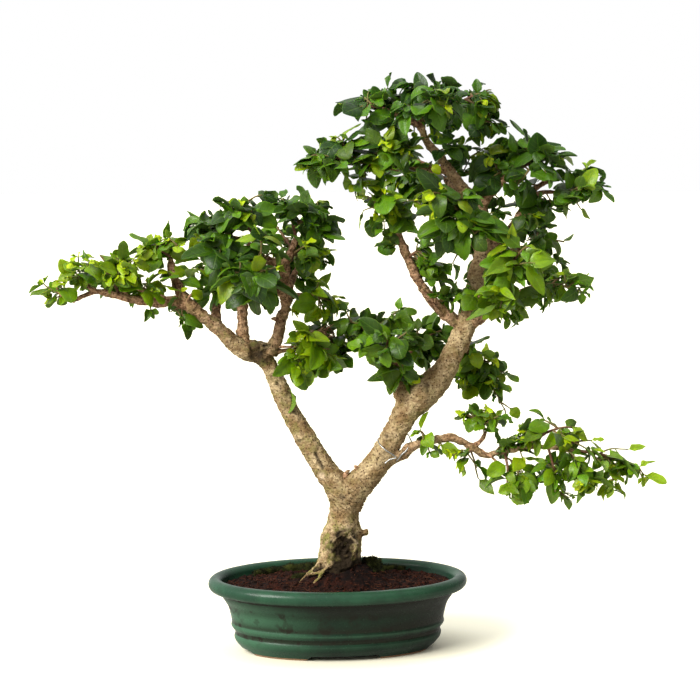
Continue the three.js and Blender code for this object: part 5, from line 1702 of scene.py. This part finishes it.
# What the last pair and the pair before it have of their full length
END_PAIRS = (0.42, 0.75)


def leaves_on(path, number, youth, size, slender):
    """Opposite pairs along a shoot, a quarter turn apart, and a young pair at its end."""
    along = lengths_along(path)
    first = min(BARE_FOOT[0] * along[-1], BARE_FOOT[1])
    places = np.append(np.arange(along[-1], first, -PAIR_SPACING)[::-1], along[-1])
    pairs = np.repeat(np.arange(len(places)), 2)
    one = np.tile([0, 1], len(places))
    seed = number + pairs * 2 + one
    place = places[pairs]
    root = read_along(along, path, place)
    tangents, _, _ = path_frames(path[:, :3])
    line = unit(read_along(along, tangents, place))
    level = unit(np.cross(line, [0, 0, 1.0]) + 1e-6)
    upward = np.cross(level, line)
    turn = 0.25 + 1.3 * (pairs % 2) + np.pi * one + 0.7 * (chance(seed, 1, 81) - 0.5)
    sideways = np.cos(turn)[:, None] * level + np.sin(turn)[:, None] * upward
    young_pair = pairs == len(places) - 1
    spread = np.where(young_pair, 0.45, 1.05) + 0.5 * (chance(seed, 2, 81) - 0.5)
    way = np.cos(spread)[:, None] * line + np.sin(spread)[:, None] * sideways
    way[:, 2] = 0.5 * way[:, 2] - 0.6 * chance(seed, 3, 81) + 0.12
    way = unit(way)
    middle = CROWN_MIDDLES[np.argmin(np.linalg.norm(CROWN_MIDDLES - path[0, :3], axis=1))]
    outward = unit(root - middle)
    normal = 0.8 * LIGHT + 0.35 * outward + 1.15 * shake(seed, 82, 4)
    small, large = LEAF_SIZES
    length = size * (small + (large - small) * chance(seed, 7, 82) ** 1.25)
    length = length * np.where(young_pair, END_PAIRS[0], 1)
    length = length * np.where(pairs == len(places) - 2, END_PAIRS[1], 1)
    tender = smoothstep(len(places) - 2.7, len(places) - 1, pairs)
    tender = tender * (chance(number, 8, 83) < 0.2 + 1.3 * youth)
    tender = tender * smoothstep(-0.45, 0.35, outward @ LIGHT + 0.5 * youth)
    return {
        "root": root,
        "line": way,
        "normal": normal,
        "length": length,
        "width": length * (0.6 - 0.16 * slender + 0.22 * chance(seed, 9, 82)),
        "pointed": chance(seed, 17, 82) ** (1.8 - 1.2 * slender),
        "droop": 2.0 * chance(seed, 10, 82) ** 1.5 - 0.15,
        "fold": 0.1 + 0.85 * chance(seed, 11, 82) ** 1.4,
        "wave": 0.3 + 1.5 * chance(seed, 12, 82) ** 1.5,
        "twist": 2.0 * (chance(seed, 13, 82) - 0.5),
        "phase": 6.3 * chance(seed, 14, 82),
        "tint": np.clip(chance(seed, 15, 82) ** 1.6 + 0.7 * youth - 0.12, 0, 1),
        "youth": np.clip(0.9 * tender + 0.5 * youth * chance(seed, 16, 82), 0, 1),
    }


print("leaves on the first shoot:", len(leaves_on(first_shoots[0], 1000, 0.6, 0.74, False)["root"]))

# %% [markdown]
# Light shows through the crown in many small places, and parts of the branches stay bare. Both are
# seen from in front, so each point is carried along its line of sight onto a plane through the
# trunk and judged there. A leaf that would fill such a place does not grow.

# %% Clear places and branches that show
# The front view's eye, in front of the trunk and above the floor
EYE_DISTANCE = 2000
EYE_HEIGHT = 518
# Clear places seen through the crown, as x, z and radius on the trunk's plane
GAPS = (
    (249, 445, 8), (15, 442, 8), (28, 436, 6), (225, 397, 7), (232, 440, 5), (-166, 333, 7), (-160, 320, 5),
    (115, 391, 7), (128, 396, 5), (222, 346, 6), (-120, 343, 6), (191, 339, 6), (-96, 460, 6), (104, 576, 6),
    (139, 570, 6), (18, 562, 6), (18, 526, 6), (196, 511, 6), (109, 489, 4), (-197, 417, 5), (-24, 468, 6),
    (247, 205, 5), (71, 365, 5), (138, 175, 5), (236, 146, 4), (160, 545, 5), (150, 555, 5), (-14, 408, 4),
    (166, 286, 5), (164, 243, 4), (128, 219, 5), (205, 164, 5), (-48, 264, 5), (300, 181, 4), (80, 568, 4),
    (42, 562, 4), (212, 505, 4), (214, 416, 4), (2, 471, 4), (-85, 456, 4), (-83, 341, 4), (289, 198, 5),
    (5, 438, 6), (-22, 451, 4), (134, 178, 5), (183, 406, 4), (2, 531, 4), (-192, 362, 4), (-60, 279, 5),
    (272, 208, 5), (-28, 270, 4), (-279, 343, 4), (266, 152, 4), (287, 211, 4), (213, 151, 4), (111, 190, 4),
)
GAP_MARGIN = 3.5
CROWN_DEPTH = 118
# Branches that show through the leaves: the part of their length, from and to
SHOWN = {
    "right_trunk": (0.74, 0.93), "left_branch": (0, 0.8), "right_upright": (0, 0.9), "upright_fork": (0, 0.8),
    "left_rise": (0, 0.7), "left_main": (0, 0.7), "middle_upright": (0, 0.5), "right_rise": (0.1, 0.6),
    "right_arm": (0.35, 0.8), "low_right": (0, 0.65),
}
SHOWN_REACH = 5.5
# Of the leaves before such a branch, the few whose waves start below this phase stay
STAYING_PHASE = 1.4


def front_view(points):
    """Points as x and z on the trunk's plane, where the line from the eye through them meets it."""
    nearer = EYE_DISTANCE / (EYE_DISTANCE + points[:, 1])
    return np.stack([points[:, 0] * nearer, EYE_HEIGHT + (points[:, 2] - EYE_HEIGHT) * nearer], axis=-1)


def shown_part(name, first, last):
    """A branch's path from one share of its points to another."""
    path = smooth_path(BRANCHES[name], 3)
    return path[int(first * len(path)):int(last * len(path))]


shown_points = np.concatenate([shown_part(name, *shares) for name, shares in SHOWN.items()])


def open_places(leaf):
    """Which leaves stay: none beyond the crown's depth or in a gap, few before a branch that shows."""
    middle = leaf["root"] + 0.5 * leaf["length"][:, None] * leaf["line"]
    seen = front_view(middle)
    end = turned(leaf["root"] + leaf["length"][:, None] * leaf["line"])
    stays = np.abs(end[:, 1]) < CROWN_DEPTH
    for x, z, radius in GAPS:
        stays &= np.hypot(seen[:, 0] - x, seen[:, 1] - z) > radius + GAP_MARGIN
    from_branch = np.linalg.norm(seen[:, None] - front_view(shown_points)[None], axis=-1) - shown_points[:, 3]
    nearest = np.argmin(from_branch, axis=1)
    in_front = middle[:, 1] < shown_points[nearest, 1]
    hides = in_front & (from_branch.min(axis=1) < SHOWN_REACH)
    return stays & ~(hides & (leaf["phase"] > STAYING_PHASE))


print("clear places:", len(GAPS), "and", len(shown_points), "points on branches that show")

# %% [markdown]
# Now each spray is grown: its shoots, the leaves that may stay, and one mesh for both, so a spray is
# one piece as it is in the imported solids. A blade's two faces meet at a crisp margin.

# %% Grow the sprays
SHOOT_SIDES = 6


def keep_edges_crisp(mesh):
    """Marks the edges that run along a blade's two margins as sharp, so that its faces shade apart."""
    ends = np.empty(len(mesh.edges) * 2, int)
    mesh.edges.foreach_get("vertices", ends)
    margin = np.empty(len(mesh.vertices), np.float32)
    mesh.attributes["edge"].data.foreach_get("value", margin)
    first, second = margin[ends].reshape(-1, 2).T
    sharp = mesh.attributes.new("sharp_edge", "BOOLEAN", "EDGE")
    sharp.data.foreach_set("value", (first > 0) & (first == second))


leaf_count = 0
face_count = 0
for number, (name, (branch, share, tips)) in enumerate(SPRAYS.items(), 1):
    youth, size, filling = next(look for start, look in LOOKS.items() if name.startswith(start))
    shoots = spray_shoots(number, branch, share, tips, MORE_TIPS.get(name, []), filling)
    leaves = [
        leaves_on(path, 1000 * number + 40 * k, youth, size, name in SLENDER)
        for k, path in enumerate(shoots)
    ]
    leaf = {key: np.concatenate([part[key] for part in leaves]) for key in leaves[0]}
    stays = open_places(leaf)
    leaf = {key: values[stays] for key, values in leaf.items()}
    parts = [leaf_part(leaf)]
    for path in shoots:
        grid = tube_grid(path, SHOOT_SIDES, lumps=0.2, seed=number)
        blank = dict.fromkeys(("along", "across", "tint", "edge"), 0.0)
        parts.append(tube_part(grid, material=2, youth=np.clip(1.3 - path[:, 3:], 0, 0.8)[None], **blank))
    for part in parts:
        part["points"] = turned(part["points"])
    mesh = build_mesh("leafy_" + name, parts)
    keep_edges_crisp(mesh)
    add_piece(mesh.name, mesh, [leaf_top, leaf_under, shoot_bark], ["spray_" + name])
    leaf_count += len(leaf["length"])
    face_count += len(mesh.polygons)
print(leaf_count, "leaves,", face_count, "faces in", len(SPRAYS), "sprays")

# %% [markdown]
# The object was photographed on a white sweep, in soft light from the upper left. The floor runs so
# far back that it meets the white surroundings. It is a little warm and brightly lit, so that it is
# plain white in the light and faintly warm in the shadow.

# %% Floor
FLOOR_LIFT = 0.38
# The lift starts outside the pot's foot, so that the gap under the pot stays dark
LIFT_FROM_TO = (0.09, 0.2)
# The floor throws back less light than it shows, as a table that is lit by a narrow beam does
BOUNCE = colour(190, 188, 180)
paper, tree, shader, place = new_material("white_paper")
tooth = mottled(tree, place, 400.0, 0.3, 0.7)
seen = add_node(tree, "ShaderNodeLightPath").outputs["Is Camera Ray"]
white = mixed(tree, tooth["Mask"], colour(252, 246, 222), colour(254, 249, 227))
tree.links.new(mixed(tree, seen, BOUNCE, white), shader.inputs["Base Color"])
shader.inputs["Roughness"].default_value = 0.9
shader.inputs["Specular IOR Level"].default_value = 0.1
flattened = add_node(tree, "ShaderNodeMapping", {"Vector": place, "Scale": (1, 1.7, 0)})
reach = add_node(tree, "ShaderNodeVectorMath", {0: flattened.outputs["Vector"]}, operation="LENGTH")
lift = banded(tree, reach.outputs["Value"], *LIFT_FROM_TO, 0.0, FLOOR_LIFT)
tree.links.new(maths(tree, "MULTIPLY", seen, lift), shader.inputs["Emission Strength"])
shader.inputs["Emission Color"].default_value = colour(255, 253, 234)
FLOOR_REACH = 14000
corners = np.array([(-1, -1, 0), (1, -1, 0), (1, 1, 0), (-1, 1, 0)]) * FLOOR_REACH * MM
floor_mesh = bpy.data.meshes.new("floor")
floor_mesh.from_pydata(corners.tolist(), [], [(0, 1, 2, 3)])
floor_mesh.materials.append(paper)
put_in_scene("floor", floor_mesh)
print("floor:", 2 * FLOOR_REACH * MM, "m square")

# %% [markdown]
# One broad lamp from the upper left gives the soft shadow on the right, and a white room fills the
# rest. The room glows most above and to the left and least on the camera's side, as a studio with
# a large window does. The camera itself sees the room as plain white.

# %% Lights and surroundings
KEY_FROM = unit(np.array([-0.67, -0.5, 0.56]))
KEY_STRENGTH = 4.2
KEY_SPREAD = math.radians(30)
lamp = bpy.data.lights.new("key", "SUN")
lamp.energy = KEY_STRENGTH
lamp.angle = KEY_SPREAD
lamp.color = (1, 0.985, 0.95)
key = put_in_scene("key", lamp)
key.rotation_euler = (math.acos(KEY_FROM[2]), 0, math.atan2(KEY_FROM[1], KEY_FROM[0]) + math.pi / 2)

GLOW_FROM = unit(np.array([-0.5, 0.3, 0.8]))
GLOW_LEAST = 0.16
GLOW_MOST = 1.1
SURROUNDINGS_SEEN = 1.0
world = bpy.data.worlds.new("white_room")
bpy.context.scene.world = world
world.use_nodes = True
background = world.node_tree.nodes["Background"]
background.inputs["Color"].default_value = (1, 1, 1, 1)
tree = world.node_tree
direction = add_node(tree, "ShaderNodeTexCoord").outputs["Generated"]
facing = add_node(
    tree, "ShaderNodeVectorMath", {0: direction, 1: GLOW_FROM.tolist()}, operation="DOT_PRODUCT",
)
glow = banded(tree, facing.outputs["Value"], -0.5, 0.9, GLOW_LEAST, GLOW_MOST)
seen = add_node(tree, "ShaderNodeLightPath").outputs["Is Camera Ray"]
glow = mixed(tree, seen, glow, (SURROUNDINGS_SEEN,) * 3 + (1,))
tree.links.new(glow, background.inputs["Strength"])
bpy.context.scene.view_settings.view_transform = "Standard"
bpy.context.scene.view_settings.look = "None"
print("key light from", [round(float(value), 2) for value in KEY_FROM])
